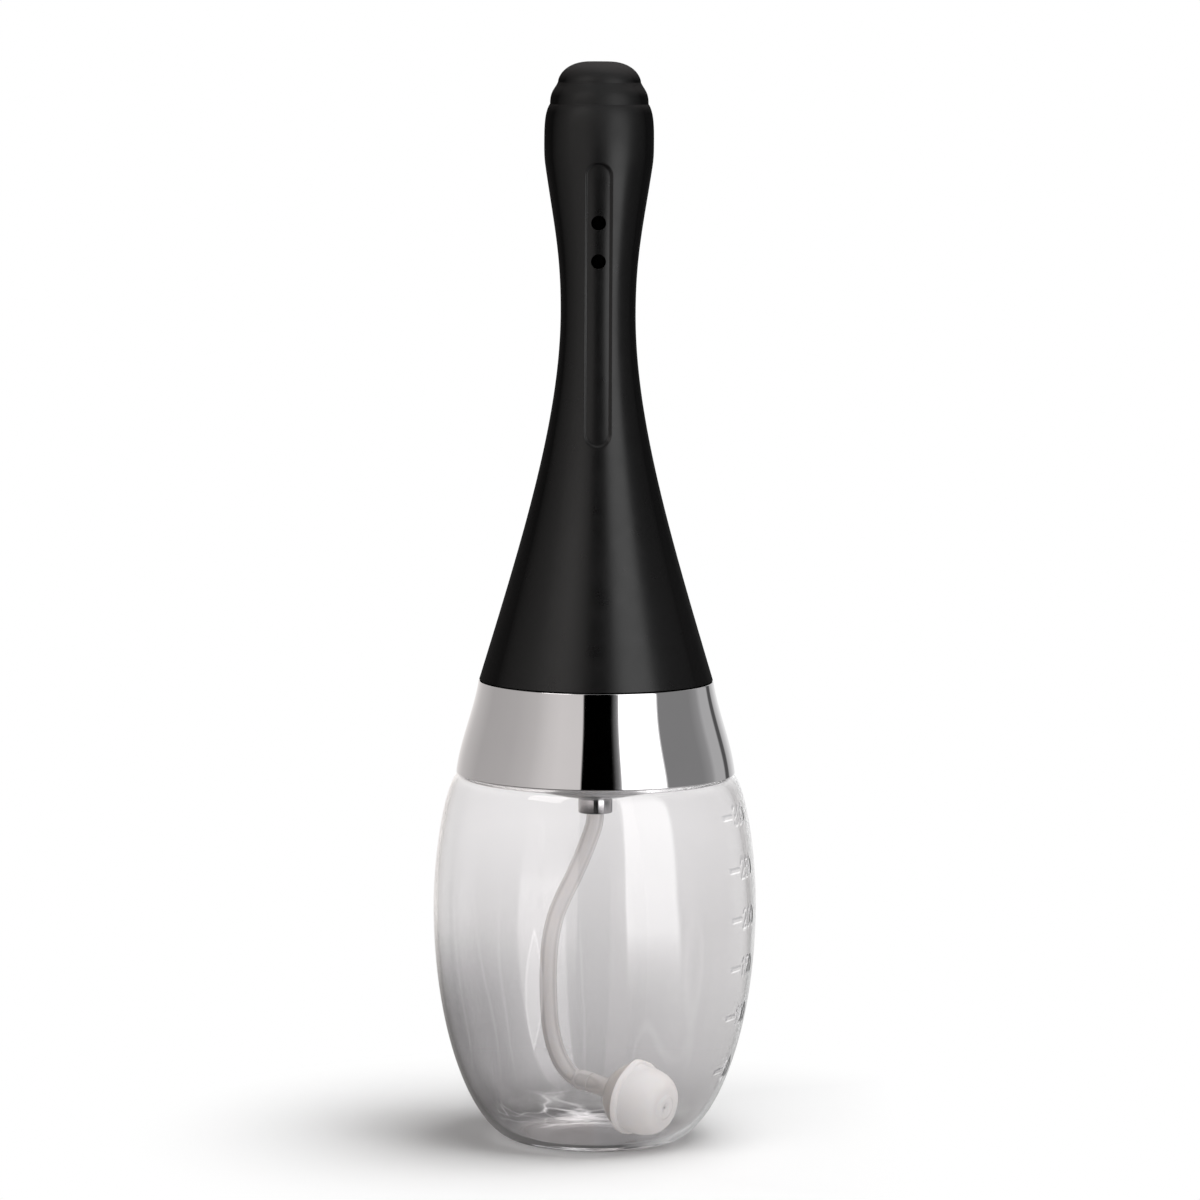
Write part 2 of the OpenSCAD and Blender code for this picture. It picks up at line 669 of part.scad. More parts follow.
module weight_front_shell() {
    color([0.92, 0.91, 0.89]) difference() {
        union() {
            at_weight() rotate_extrude() polygon(concat([[0, rim_front - eps], [shoulder_r, rim_front - eps]],
                weight_front, [[0, mouth_z]]));
            at_weight(rim_front - rim_w) cylinder(d = rim_d, h = rim_w);
        }
        at_weight() sphere(r = weight_in_r);
        at_weight() cylinder(d = inlet_d, h = weight_d);
    }
}

module weight_slug() {
    color([0.6, 0.61, 0.63]) at_weight(-slug_half) ring(slug_r, stub_d / 2, 2 * slug_half);
}

squeeze_bulb();
neck_gasket();
collar_shell();
collar_sleeve();
dome_cup();
nozzle_core();
core_o_ring();
nozzle_sleeve();
valve_body();
check_ball();
valve_cap();
riser_tube();
air_valve();
hose_nut();
hose();
weight_back_shell();
weight_front_shell();
weight_slug();
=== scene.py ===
import math

import bmesh
import bpy
import numpy as np
from mathutils import Matrix, Vector


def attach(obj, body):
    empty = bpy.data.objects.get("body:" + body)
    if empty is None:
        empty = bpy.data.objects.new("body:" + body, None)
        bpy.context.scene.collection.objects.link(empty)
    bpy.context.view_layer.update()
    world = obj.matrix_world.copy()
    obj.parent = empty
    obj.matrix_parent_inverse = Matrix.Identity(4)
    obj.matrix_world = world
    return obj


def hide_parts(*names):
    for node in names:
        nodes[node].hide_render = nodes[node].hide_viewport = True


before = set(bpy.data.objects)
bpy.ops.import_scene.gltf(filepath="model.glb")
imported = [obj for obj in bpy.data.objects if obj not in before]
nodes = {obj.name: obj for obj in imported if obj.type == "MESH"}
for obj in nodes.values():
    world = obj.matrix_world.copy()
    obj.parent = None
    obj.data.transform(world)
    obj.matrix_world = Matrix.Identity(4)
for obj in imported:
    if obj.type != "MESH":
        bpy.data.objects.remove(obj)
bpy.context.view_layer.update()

MM = 0.001  # outlines are in millimetres, meshes in metres
MERGE = 1e-6

# Heights, radii and walls that the pieces share, in millimetres
RIM_Z = 104.0
SHOULDER_Z = 89.1
NECK_R = 26.4
NECK_WALL = 1.7
BULB_WALL = 0.9
BASE_WALL = 1.4
COLLAR_LOW = 89.15
COLLAR_TOP = 111.5
NOZZLE_Z = 111.8
TIP_Z = 259.8


# Curves and outlines, as lists of (radius, height) or (x, y, z) points

def curve(a, b, c, d, count):
    """Points on a cubic curve from a to d, drawn towards b and c."""
    points = []
    for i in range(count + 1):
        t = i / count
        s = 1 - t
        weights = (s**3, 3 * s * s * t, 3 * s * t * t, t**3)
        points.append(tuple(sum(w * p[k] for w, p in zip(weights, (a, b, c, d))) for k in range(len(a))))
    return points


def joined(*paths):
    """One path made of several, without the points that repeat."""
    out = []
    for path in paths:
        for p in path:
            if not out or math.dist(p, out[-1]) > 1e-6:
                out.append(p)
    return out


def rounded(path, corners):
    """The path with the corners numbered in corners = {index: radius} rounded by short curves."""
    out = []
    for i, p in enumerate(path):
        radius = corners.get(i)
        if radius is None:
            out.append(p)
            continue
        before = Vector(path[i - 1]) - Vector(p)
        after = Vector(path[(i + 1) % len(path)]) - Vector(p)
        start = Vector(p) + before.normalized() * radius
        end = Vector(p) + after.normalized() * radius
        out += curve(tuple(start), tuple(start.lerp(Vector(p), 0.55)), tuple(end.lerp(Vector(p), 0.55)),
                     tuple(end), 5)
    return out


def spaced(path, step):
    """The same path with a point at least every step(height) millimetres."""
    out = [path[0]]
    for a, b in zip(path, path[1:]):
        length = math.dist(a, b)
        parts = max(1, math.ceil(length / step((a[1] + b[1]) / 2)))
        for k in range(1, parts + 1):
            t = k / parts
            out.append((a[0] + (b[0] - a[0]) * t, a[1] + (b[1] - a[1]) * t))
    return out


def smoothstep(x):
    x = np.clip(x, 0, 1)
    return x * x * (3 - 2 * x)


# Mesh makers

def new_object(name, verts, faces):
    mesh = bpy.data.meshes.new(name)
    mesh.from_pydata(verts, [], faces)
    mesh.validate()
    mesh.update()
    obj = bpy.data.objects.new(name, mesh)
    bpy.context.scene.collection.objects.link(obj)
    return obj


def lathe(name, outline, turns, push=None, closed=False, relief=None):
    """Mesh turned about Z from an outline of (radius, height) in millimetres.
    turns are angles from the front (-Y) towards +X, in degrees.
    push(turn, radius, height) moves points outwards.
    Ends on the axis close in one point, and a closed outline joins its last point to its first.
    relief(turn, radius, height) is kept as an attribute, for the material's painted shade and light on the
    edges of the marks and numbers."""
    r = np.array([p[0] for p in outline])[:, None]
    z = np.array([p[1] for p in outline])[:, None]
    t = np.array(turns)[None, :]
    rr = r + (push(t, r, z) if push else 0) + 0 * t
    a = np.radians(t)
    x, y, zz = rr * np.sin(a), -rr * np.cos(a), z + 0 * t
    columns, rows = len(turns), len(outline)
    grid = np.stack([x, y, zz], -1).reshape(-1, 3) * MM
    verts = grid.tolist()
    faces = []

    def at(i, k):
        return i * columns + k % columns

    bottom_pole = outline[0][0] < 1e-9 and not closed
    top_pole = outline[-1][0] < 1e-9 and not closed
    first = 1 if bottom_pole else 0
    last = rows - 2 if top_pole else rows - 1
    for i in range(first, last):
        for k in range(columns):
            faces.append((at(i, k), at(i, k + 1), at(i + 1, k + 1), at(i + 1, k)))
    if closed:
        for k in range(columns):
            faces.append((at(rows - 1, k), at(rows - 1, k + 1), at(0, k + 1), at(0, k)))
    if bottom_pole:
        for k in range(columns):
            faces.append((at(0, 0), at(1, k + 1), at(1, k)))
    if top_pole:
        for k in range(columns):
            faces.append((at(rows - 1, 0), at(rows - 2, k), at(rows - 2, k + 1)))
    obj = new_object(name, verts, faces)
    if relief is not None:
        kept = obj.data.attributes.new("relief", "FLOAT", "POINT")
        kept.data.foreach_set("value", relief(t, r, z).astype(np.float32).ravel())
    tidy_mesh(obj)
    return obj


def tidy_mesh(obj):
    """Joins points that coincide, removes loose ones and turns the faces outwards."""
    bm = bmesh.new()
    bm.from_mesh(obj.data)
    bmesh.ops.remove_doubles(bm, verts=bm.verts, dist=MERGE)
    loose = [v for v in bm.verts if not v.link_faces]
    bmesh.ops.delete(bm, geom=loose, context="VERTS")
    bmesh.ops.recalc_face_normals(bm, faces=bm.faces)
    bm.to_mesh(obj.data)
    bm.free()


def smooth(obj, angle):
    """Smooth shading with sharp edges above an angle in degrees."""
    obj.data.polygons.foreach_set("use_smooth", [True] * len(obj.data.polygons))
    obj.data.set_sharp_from_angle(angle=math.radians(angle))
    obj.data.update()


def cut(obj, cutter):
    """Takes the cutter's solid out of the object, and deletes the cutter."""
    change = obj.modifiers.new("cut", "BOOLEAN")
    change.operation = "DIFFERENCE"
    change.solver = "EXACT"
    change.object = cutter
    bpy.context.view_layer.update()
    made = bpy.data.meshes.new_from_object(obj.evaluated_get(bpy.context.evaluated_depsgraph_get()))
    obj.modifiers.clear()
    old = obj.data
    obj.data = made
    bpy.data.meshes.remove(old)
    bpy.data.objects.remove(cutter)


def even_turns(count):
    return [360 * k / count for k in range(count)]


def cylinder(name, radius, low, high):
    return lathe(name, [(0, low), (radius, low), (radius, high), (0, high)], even_turns(48))


def turns_with(zones, fine, coarse):
    """Angles round a circle, fine inside the zones (low, high) and coarse elsewhere, in degrees."""
    out, t = [], 0.0
    while t < 360 - fine / 2:
        out.append(t)
        inside = any(low <= (t - low) % 360 + low <= high for low, high in zones)
        t += fine if inside else coarse
    return out


# Materials

class Shader:
    """A node material with one Principled surface and helpers for its textures."""

    def __init__(self, name, colour, roughness, **sockets):
        self.material = bpy.data.materials.new(name)
        self.material.use_nodes = True
        self.tree = self.material.node_tree
        self.bsdf = self.tree.nodes["Principled BSDF"]
        self.output = self.tree.nodes["Material Output"]
        self.bsdf.inputs["Base Color"].default_value = (*colour, 1)
        self.bsdf.inputs["Roughness"].default_value = roughness
        for label, value in sockets.items():
            self.bsdf.inputs[label.replace("_", " ")].default_value = value
        self.place = self.node("ShaderNodeTexCoord").outputs["Object"]

    def node(self, kind, **settings):
        made = self.tree.nodes.new(kind)
        for key, value in settings.items():
            setattr(made, key, value)
        return made

    def link(self, a, b):
        self.tree.links.new(a, b)

    def noise(self, scale, detail=3, rough=0.5, stretch=(1, 1, 1)):
        mapping = self.node("ShaderNodeMapping")
        mapping.inputs["Scale"].default_value = stretch
        self.link(self.place, mapping.inputs["Vector"])
        texture = self.node("ShaderNodeTexNoise")
        texture.inputs["Scale"].default_value = scale
        texture.inputs["Detail"].default_value = detail
        texture.inputs["Roughness"].default_value = rough
        self.link(mapping.outputs["Vector"], texture.inputs["Vector"])
        return texture.outputs["Fac"]

    def spread(self, value, low, high, start=0.3, end=0.7, how="LINEAR"):
        """The value between start and end, carried over to low to high."""
        ramp = self.node("ShaderNodeMapRange", interpolation_type=how)
        ramp.inputs["From Min"].default_value = start
        ramp.inputs["From Max"].default_value = end
        ramp.inputs["To Min"].default_value = low
        ramp.inputs["To Max"].default_value = high
        self.link(value, ramp.inputs["Value"])
        return ramp.outputs["Result"]

    def tint(self, value, first, second, how="MIX"):
        """Colour between first and second, each of them a colour or another node's colour."""
        mix = self.node("ShaderNodeMix", data_type="RGBA", blend_type=how)
        self.link(value, mix.inputs["Factor"])
        for name, colour in (("A", first), ("B", second)):
            socket = [i for i in mix.inputs if i.type == "RGBA" and i.name == name][0]
            if isinstance(colour, tuple):
                socket.default_value = (*colour, 1)
            else:
                self.link(colour, socket)
        return [s for s in mix.outputs if s.type == "RGBA"][0]

    def rise(self, value, start, end):
        """From 0 at start to 1 at end."""
        return self.spread(value, 0.0, 1.0, start, end)

    def fall(self, value, start, end):
        """From 1 at start to 0 at end."""
        return self.spread(value, 1.0, 0.0, start, end)

    def edge(self, low, high, start, end):
        """Rises from low to high as the surface turns away from the eye."""
        return self.spread(self.node("ShaderNodeLayerWeight").outputs["Facing"], low, high, start, end)

    def ray(self, label):
        return self.node("ShaderNodeLightPath").outputs[label]

    def maths(self, operation, a, b=0.0):
        made = self.node("ShaderNodeMath", operation=operation)
        for socket, value in zip(made.inputs, (a, b)):
            if isinstance(value, (int, float)):
                socket.default_value = value
            else:
                self.link(value, socket)
        return made.outputs[0]

    def mix_shader(self, factor, a, b):
        made = self.node("ShaderNodeMixShader")
        self.link(factor, made.inputs[0])
        self.link(a, made.inputs[1])
        self.link(b, made.inputs[2])
        return made.outputs[0]

    def both(self, a, b):
        return self.maths("MULTIPLY", a, b)

    def total(self, a, b):
        return self.maths("ADD", a, b)

    def axis(self, name):
        """Place along X, Y or Z, in metres."""
        split = self.node("ShaderNodeSeparateXYZ")
        self.link(self.place, split.inputs["Vector"])
        return split.outputs[name]

    def ridges(self, scale, stretch):
        """Distance from the winding lines on which a noise has its middle value."""
        return self.maths("ABSOLUTE", self.maths("SUBTRACT", self.noise(scale, 1, 0.4, stretch), 0.5))

    def colours(self, value, stops):
        """Colour by a value from 0 to 1, through stops of (place, colour)."""
        ramp = self.node("ShaderNodeValToRGB")
        elements = ramp.color_ramp.elements
        while len(elements) < len(stops):
            elements.new(0.5)
        for element, (place, colour) in zip(elements, stops):
            element.position = place
            element.color = (*colour, 1)
        self.link(value, ramp.inputs["Fac"])
        return ramp.outputs["Color"]

    def bump(self, value, strength, distance=0.0001):
        bump = self.node("ShaderNodeBump")
        bump.inputs["Strength"].default_value = strength
        bump.inputs["Distance"].default_value = distance
        self.link(value, bump.inputs["Height"])
        self.link(bump.outputs["Normal"], self.bsdf.inputs["Normal"])

    def painted_glow_inside(self, colour, strength):
        """Painted glow, standing in for the light from all round that a piece gathers while the clear bulb is
        about it; only rays through the bulb see it.
        """
        self.bsdf.inputs["Emission Color"].default_value = (*colour, 1)
        self.set("Emission Strength", self.both(self.ray("Is Transmission Ray"), strength))

    def set(self, label, value):
        self.link(value, self.bsdf.inputs[label])


# Clear plastic: colours, some of them painted shade, levels of painted light, shadow colours, and the heights
# in metres between which they change

PLASTIC_FRONT = (0.955, 0.945, 0.948)
PLASTIC_LOW = (0.50, 0.49, 0.495)
PLASTIC_HIGH = (0.93, 0.92, 0.925)
PLASTIC_SPAN = (0.008, 0.072)
PLASTIC_BASE = (0.72, 0.71, 0.71)
BASE_SPAN = (0.002, 0.006)
# Painted shade on the edges, darkest low down
EDGE_LOW = (0.64, 0.63, 0.635)
EDGE_HIGH = (0.96, 0.955, 0.958)
EDGE_SPAN = (0.006, 0.045)
# Painted shade on the lower left side
PAINTED_SIDE_SHADE = (0.70, 0.695, 0.70)
PAINTED_SHADE_X = (-0.015, -0.036)
PAINTED_SHADE_SPAN = (0.030, 0.052)
PAINTED_FOOT_SHADE = (0.66, 0.65, 0.66)
FOOT_SPAN = (0.0010, 0.0030)
FOOT_GLOSS = (0.0014, 0.0034)
RELIEF_PAINTED_SHADE = (0.66, 0.66, 0.68)
RELIEF_PAINTED_LIGHT = 0.38
# Painted light along the shoulder, just below the collar
SHOULDER_PAINTED_LIGHT = 0.035
SHOULDER_SPAN = (0.0865, 0.0880)
SHOULDER_END = (0.0894, 0.0900)
CALM_SPAN = (0.076, 0.087)
SHADE_LOW = (0.40, 0.40, 0.40)
SHADE_HIGH = (0.94, 0.94, 0.94)
SHADE_SPAN = (0.030, 0.080)
SHADE_BASE = (0.95, 0.95, 0.95)
SHADE_BASE_SPAN = (0.002, 0.004)
COOL_WHITE = (1, 0.985, 0.99, 1)


def clear_plastic():
    """Clear soft plastic: the far wall is darker low down, partly a grey tint and partly painted shade.
    Painted shade also darkens the lower edges, the lower left side, the foot and the upper edges of the
    marks, and painted light brightens their lower edges, a band on the shoulder, the front wall's ripples and
    the base.
    """
    s = Shader("clear_plastic", (0.9, 0.9, 0.9), 0.03, Transmission_Weight=1.0, IOR=1.08,
               Coat_Weight=1.0, Coat_IOR=1.6, Coat_Roughness=0.02)
    height = s.axis("Z")
    # Far wall darker low down: partly the plastic's grey tint, partly painted shade for the shadowed floor
    # seen through the lower bulb
    far = s.tint(s.rise(height, *PLASTIC_SPAN), PLASTIC_LOW, PLASTIC_HIGH)
    far = s.tint(s.fall(height, *BASE_SPAN), far, PLASTIC_BASE)
    body = s.tint(s.maths("GREATER_THAN", s.ray("Transmission Depth"), 1.5), PLASTIC_FRONT, far)
    # Painted shade: edges darker low down, where the floor's shadow shows through the walls
    body = s.tint(s.edge(0.0, 1.0, 0.35, 0.85), body, s.tint(s.rise(height, *EDGE_SPAN), EDGE_LOW, EDGE_HIGH))
    # Painted shade: the lower left side darker, as on the side turned from the key lamp
    painted_shading = s.both(s.rise(s.axis("X"), *PAINTED_SHADE_X), s.fall(height, *PAINTED_SHADE_SPAN))
    body = s.tint(painted_shading, body, PAINTED_SIDE_SHADE, "MULTIPLY")
    # Painted shade: the foot darker where the bulb meets the floor
    body = s.tint(s.fall(height, *FOOT_SPAN), body, PAINTED_FOOT_SHADE, "MULTIPLY")
    # Painted shade on the upper edges of the marks and numbers, and painted light on their lower edges
    relief = s.node("ShaderNodeAttribute", attribute_name="relief").outputs["Fac"]
    s.set("Base Color", s.tint(s.rise(relief, 0.1, 0.8), body, RELIEF_PAINTED_SHADE, "MULTIPLY"))
    painted_lit_edge = s.spread(relief, 0.0, RELIEF_PAINTED_LIGHT, -0.1, -0.8)
    # Painted light: a thin bright band along the shoulder, just below the collar
    shoulder = s.both(s.spread(height, 0.0, SHOULDER_PAINTED_LIGHT, *SHOULDER_SPAN), s.fall(height, *SHOULDER_END))
    # All painted light on the wall: the marks' lower edges, the shoulder band and the ripples
    painted_wall_light = s.total(s.total(painted_lit_edge, shoulder), painted_ripple_light(s, height))
    s.set("Emission Strength", s.total(painted_wall_light, painted_base_light(s, height)))
    s.set("Specular IOR Level", s.spread(height, 0.0, 0.5, *FOOT_GLOSS))
    s.bsdf.inputs["Emission Color"].default_value = COOL_WHITE
    s.set("Roughness", s.spread(s.noise(90, 4), 0.015, 0.05))
    waves = s.both(s.noise(28, 2, 0.4, (1, 1, 0.25)), s.fall(height, *CALM_SPAN))
    s.bump(waves, 0.13, 0.0004)
    shade = s.node("ShaderNodeBsdfTransparent")
    cast = s.tint(s.rise(height, *SHADE_SPAN), SHADE_LOW, SHADE_HIGH)
    cast = s.tint(s.fall(height, *SHADE_BASE_SPAN), cast, SHADE_BASE)
    s.link(cast, shade.inputs["Color"])
    surface = s.mix_shader(s.ray("Is Shadow Ray"), s.bsdf.outputs["BSDF"], shade.outputs["BSDF"])
    s.link(surface, s.output.inputs["Surface"])
    return s.material


# Painted highlights in the front wall, standing in for reflections in its ripples
STREAK_LIGHT = 0.035
STREAK_STRETCH = (1, 1, 0.12)
STREAK_W = 0.014
STREAK_LOW = (0.014, 0.030)
STREAK_HIGH = (0.052, 0.072)
LEAF_MIDDLE = (-0.0142, 0.042)
LEAF_HALF = (0.0023, 0.0155)
LEAF_LIGHT = 0.07
LEAF_EDGE = 0.10
VEIN_AT = 0.85
VEIN_W = 0.16


def painted_ripple_light(s, height):
    """Painted highlights in the front wall, standing in for reflections in its ripples: faint upright
    streaks, and a leaf shape beside the hose.
    """
    first = s.maths("LESS_THAN", s.ray("Transmission Depth"), 0.5)
    front = s.both(first, s.maths("LESS_THAN", s.axis("Y"), 0.0))
    streaks = s.both(s.spread(s.ridges(60, STREAK_STRETCH), STREAK_LIGHT, 0.0, 0.0, STREAK_W),
                     s.both(s.rise(height, *STREAK_LOW), s.fall(height, *STREAK_HIGH)))
    up = s.maths("DIVIDE", s.maths("SUBTRACT", height, LEAF_MIDDLE[1]), LEAF_HALF[1])
    aside = s.maths("DIVIDE", s.maths("SUBTRACT", s.axis("X"), LEAF_MIDDLE[0]), LEAF_HALF[0])
    leaf = s.total(s.maths("ABSOLUTE", aside), s.both(up, up))
    vein = s.maths("ABSOLUTE", s.maths("SUBTRACT", leaf, VEIN_AT))
    painted_leaf_light = s.total(s.spread(leaf, LEAF_LIGHT, 0.0, 0.75, 1.0), s.spread(vein, LEAF_EDGE, 0.0, 0.0, VEIN_W))
    return s.both(front, s.total(streaks, painted_leaf_light))


# Painted light in the base, standing in for caught light and reflections
BASE_GLOW = 0.028
BASE_LINES = 0.4
BASE_PATCH = 0.42
LINE_W = 0.018
LINES_X = (-0.006, 0.012)
LINES_Y = (-0.003, 0.006)
PATCH_MIDDLE = (-0.003, 0.016)
PATCH_SIZE = (0.0095, 0.0070)
PATCH_TEAR = 1.9
PATCH_END = (1.40, 1.62)
BASE_LIT = (0.003, 0.007)


def painted_base_light(s, height):
    """Painted light in the thick base, standing in for the light it gathers: a soft glow, bright winding
    lines, and a torn bright patch.
    """
    side = s.both(s.fall(s.axis("X"), *LINES_X), s.rise(s.axis("Y"), *LINES_Y))
    lines = s.both(s.fall(s.ridges(110, (0.4, 1.4, 1)), 0.0, LINE_W), side)
    away = s.node("ShaderNodeMapping", vector_type="TEXTURE")
    away.inputs["Location"].default_value = (*PATCH_MIDDLE, 0)
    away.inputs["Scale"].default_value = (*PATCH_SIZE, 1e3)
    s.link(s.place, away.inputs["Vector"])
    reach = s.node("ShaderNodeVectorMath", operation="LENGTH")
    s.link(away.outputs["Vector"], reach.inputs[0])
    torn = s.both(s.noise(240, 2, 0.6, (0.4, 1.6, 1)), PATCH_TEAR)
    patch = s.fall(s.total(reach.outputs["Value"], torn), *PATCH_END)
    bright = s.total(s.both(lines, BASE_LINES), s.both(patch, BASE_PATCH))
    return s.both(s.total(bright, BASE_GLOW), s.fall(height, *BASE_LIT))


PAINTED_RIM_SPAN = (0.0095, 0.0125)


def chrome(name, level, rim=0.0):
    """Bright plating. rim is the strength of painted light on a dome's sides, standing in for the bright
    shoulder that they mirror, seen only through the bulb.
    """
    s = Shader(name, (level, 0.985 * level, level), 0.04, Metallic=1.0)
    s.set("Base Color", s.tint(s.noise(60), (0.97 * level, 0.955 * level, 0.97 * level),
                               (1.04 * level, 1.025 * level, 1.04 * level)))
    if rim:
        # Painted reflection: light on the dome's sides, seen only through the bulb
        painted_rim_light = s.spread(s.maths("ABSOLUTE", s.axis("X")), 0.0, rim, *PAINTED_RIM_SPAN)
        s.bsdf.inputs["Emission Color"].default_value = COOL_WHITE
        s.set("Emission Strength", s.both(s.ray("Is Transmission Ray"), painted_rim_light))
    s.set("Roughness", s.spread(s.noise(140, 4), 0.025, 0.06))
    s.bump(s.noise(35, 2), 0.02)
    return s.material


MATTE_TIP = (0.232, 0.250)
MATTE_EDGE = (0.14, 0.48)
MATTE_SHARE = 0.93
MATTE_LOW = (0.0035, 0.0034, 0.0035)
# Painted light on matte parts that face up
MATTE_PAINTED_TOP = (0.036, 0.034, 0.034)


def satin_black():
    """Soft black skin: satin in front, matte where it turns away and towards the tip, with painted light on
    its upward-facing matte parts.
    """
    s = Shader("satin_black", (0.003, 0.003, 0.0032), 0.3, Specular_IOR_Level=0.38)
    s.set("Base Color", s.tint(s.noise(45, 4), (0.0024, 0.0024, 0.0026), (0.0042, 0.0041, 0.0042)))
    tip = s.spread(s.axis("Z"), 0.0, 0.24, *MATTE_TIP)
    s.set("Roughness", s.total(s.spread(s.noise(220, 4), 0.27, 0.33), tip))
    s.bump(s.noise(1600, 3, 0.6), 0.08, 0.00006)
    matte = s.node("ShaderNodeBsdfDiffuse")
    # Painted light: matte parts facing up are lighter, where light from above falls on them
    facing = s.node("ShaderNodeSeparateXYZ")
    s.link(s.node("ShaderNodeNewGeometry").outputs["Normal"], facing.inputs["Vector"])
    s.link(s.tint(s.rise(facing.outputs["Z"], 0.25, 0.9), MATTE_LOW, MATTE_PAINTED_TOP), matte.inputs["Color"])
    turned = s.edge(0.0, MATTE_SHARE, *MATTE_EDGE)
    surface = s.mix_shader(turned, s.bsdf.outputs["BSDF"], matte.outputs["BSDF"])
    s.link(surface, s.output.inputs["Surface"])
    return s.material


def black_plastic():
    s = Shader("black_plastic", (0.02, 0.02, 0.02), 0.45)
    s.set("Base Color", s.tint(s.noise(60), (0.015, 0.015, 0.016), (0.028, 0.028, 0.028)))
    s.bump(s.noise(900), 0.15)
    return s.material


MILKY_IOR = 1.42
MILKY_SCALE = 0.003
MILKY_RADIUS = (1.0, 0.85, 0.7)


def milky(name, colour, painted_edge_shade, glow):
    """Milky plastic, darker where it turns away: painted shade. glow is the strength of a painted glow,
    standing in for the light that it passes on from all round.
    """
    s = Shader(name, colour, 0.25, IOR=MILKY_IOR, Subsurface_Weight=0.5, Subsurface_Scale=MILKY_SCALE)
    s.painted_glow_inside(colour, glow)
    s.bsdf.inputs["Subsurface Radius"].default_value = MILKY_RADIUS
    body = s.tint(s.noise(120), tuple(0.96 * c for c in colour), colour)
    # Painted shade: darker where the surface turns away
    s.set("Base Color", s.tint(s.edge(0.0, 1.0, 0.30, 0.95), body, painted_edge_shade))
    s.bump(s.noise(200, 2), 0.05)
    return s.material


HOSE_COLOUR = (0.94, 0.90, 0.88)
HOSE_SPOTS = (0.97, 0.97, 0.97)
# Strength of the hose's painted glow
HOSE_GLOW = 0.12
# How far the hose turns away from the eye, 0 to 1, and its level there: painted shade and light, a lighter
# middle where the bore shows between darker lines, and darker edges
HOSE_PAINTED_SHADING = [(0.0, 0.96), (0.10, 1.0), (0.20, 0.80), (0.30, 0.70), (0.42, 0.92), (0.62, 0.86), (0.90, 0.60)]


def hose_plastic():
    """Milky tube with painted shade and light by how far it turns away: a lighter middle where the bore
    shows, between two darker lines, and darker edges.
    """
    s = Shader("milky_hose", HOSE_COLOUR, 0.2, Transmission_Weight=0.2, IOR=MILKY_IOR,
               Subsurface_Weight=0.4, Subsurface_Scale=MILKY_SCALE)
    s.painted_glow_inside(HOSE_COLOUR, HOSE_GLOW)
    s.bsdf.inputs["Subsurface Radius"].default_value = MILKY_RADIUS
    stops = [(place, tuple(level * c for c in HOSE_COLOUR)) for place, level in HOSE_PAINTED_SHADING]
    body = s.colours(s.edge(0.0, 1.0, 0.0, 1.0), stops)
    s.set("Base Color", s.tint(s.rise(s.noise(120), 0.3, 0.7), body, HOSE_SPOTS, "MULTIPLY"))
    s.bump(s.noise(200, 2), 0.05)
    return s.material


def plain(name, first, second, roughness, scale=80, metallic=0.0):
    """Plain material, uneven between two colours."""
    s = Shader(name, first, roughness, Metallic=metallic)
    s.set("Base Color", s.tint(s.noise(scale), first, second))
    s.set("Roughness", s.spread(s.noise(scale * 3), roughness * 0.85, roughness * 1.15))
    s.bump(s.noise(scale * 8, 2), 0.05)
    return s.material


def paint(obj, material):
    obj.data.materials.clear()
    obj.data.materials.append(material)


# Camera: just above the tip's height, looking slightly down

CAMERA_PLACE = (0, -1.330, 0.270)
CAMERA_LENS = 166.9
CAMERA_DOWN = 5.97
CAMERA_ROLL = 0.33
CAMERA_YAW = -0.036


def add_camera():
    data = bpy.data.cameras.new("camera")
    data.sensor_width = 36
    data.lens = CAMERA_LENS
    camera = bpy.data.objects.new("camera", data)
    bpy.context.scene.collection.objects.link(camera)
    pitch, roll, yaw = (math.radians(angle) for angle in (90 - CAMERA_DOWN, CAMERA_ROLL, CAMERA_YAW))
    turn = Matrix.Rotation(yaw, 4, "Z") @ Matrix.Rotation(pitch, 4, "X") @ Matrix.Rotation(roll, 4, "Z")
    camera.matrix_world = Matrix.Translation(CAMERA_PLACE) @ turn
    data.clip_start = 0.05
    data.clip_end = 50
    bpy.context.scene.camera = camera


# Hose: its middle line and its radii, in metres

HOSE_ROUTE = [(0, 0, 0.0822), (0, 0, 0.0790), (-0.0003, 0, 0.0764), (-0.0014, 0.0001, 0.0730),
              (-0.0031, 0.0004, 0.0685), (-0.0052, 0.0009, 0.0636), (-0.0076, 0.0015, 0.0585),
              (-0.0096, 0.0022, 0.0532), (-0.0108, 0.0028, 0.0470), (-0.0112, 0.0033, 0.0400),
              (-0.0111, 0.0036, 0.0330), (-0.0106, 0.0037, 0.0265), (-0.0093, 0.0034, 0.0210),
              (-0.0072, 0.0025, 0.0168), (-0.0044, 0.0007, 0.01435), (-0.0005, -0.0023, 0.0136)]
HOSE_R = 0.0021
HOSE_BORE_R = 0.00145
HOSE_EXIT = (0, 0, 0.0794)
HOSE_SWELL = 0.0004
SWELL_FROM = 0.935
SWELL_LENGTH = 0.02


def through(points, per_span):
    """A smooth line through points, straight at both ends."""
    pts = [Vector(p) for p in points]
    pts = [2 * pts[0] - pts[1]] + pts + [2 * pts[-1] - pts[-2]]
    out = []
    for i in range(1, len(pts) - 2):
        p0, p1, p2, p3 = pts[i - 1:i + 3]
        for k in range(per_span):
            t = k / per_span
            out.append(0.5 * (2 * p1 + (p2 - p0) * t + (2 * p0 - 5 * p1 + 4 * p2 - p3) * t * t
                              + (3 * p1 - p0 - 3 * p2 + p3) * t**3))
    out.append(pts[-2])
    return out


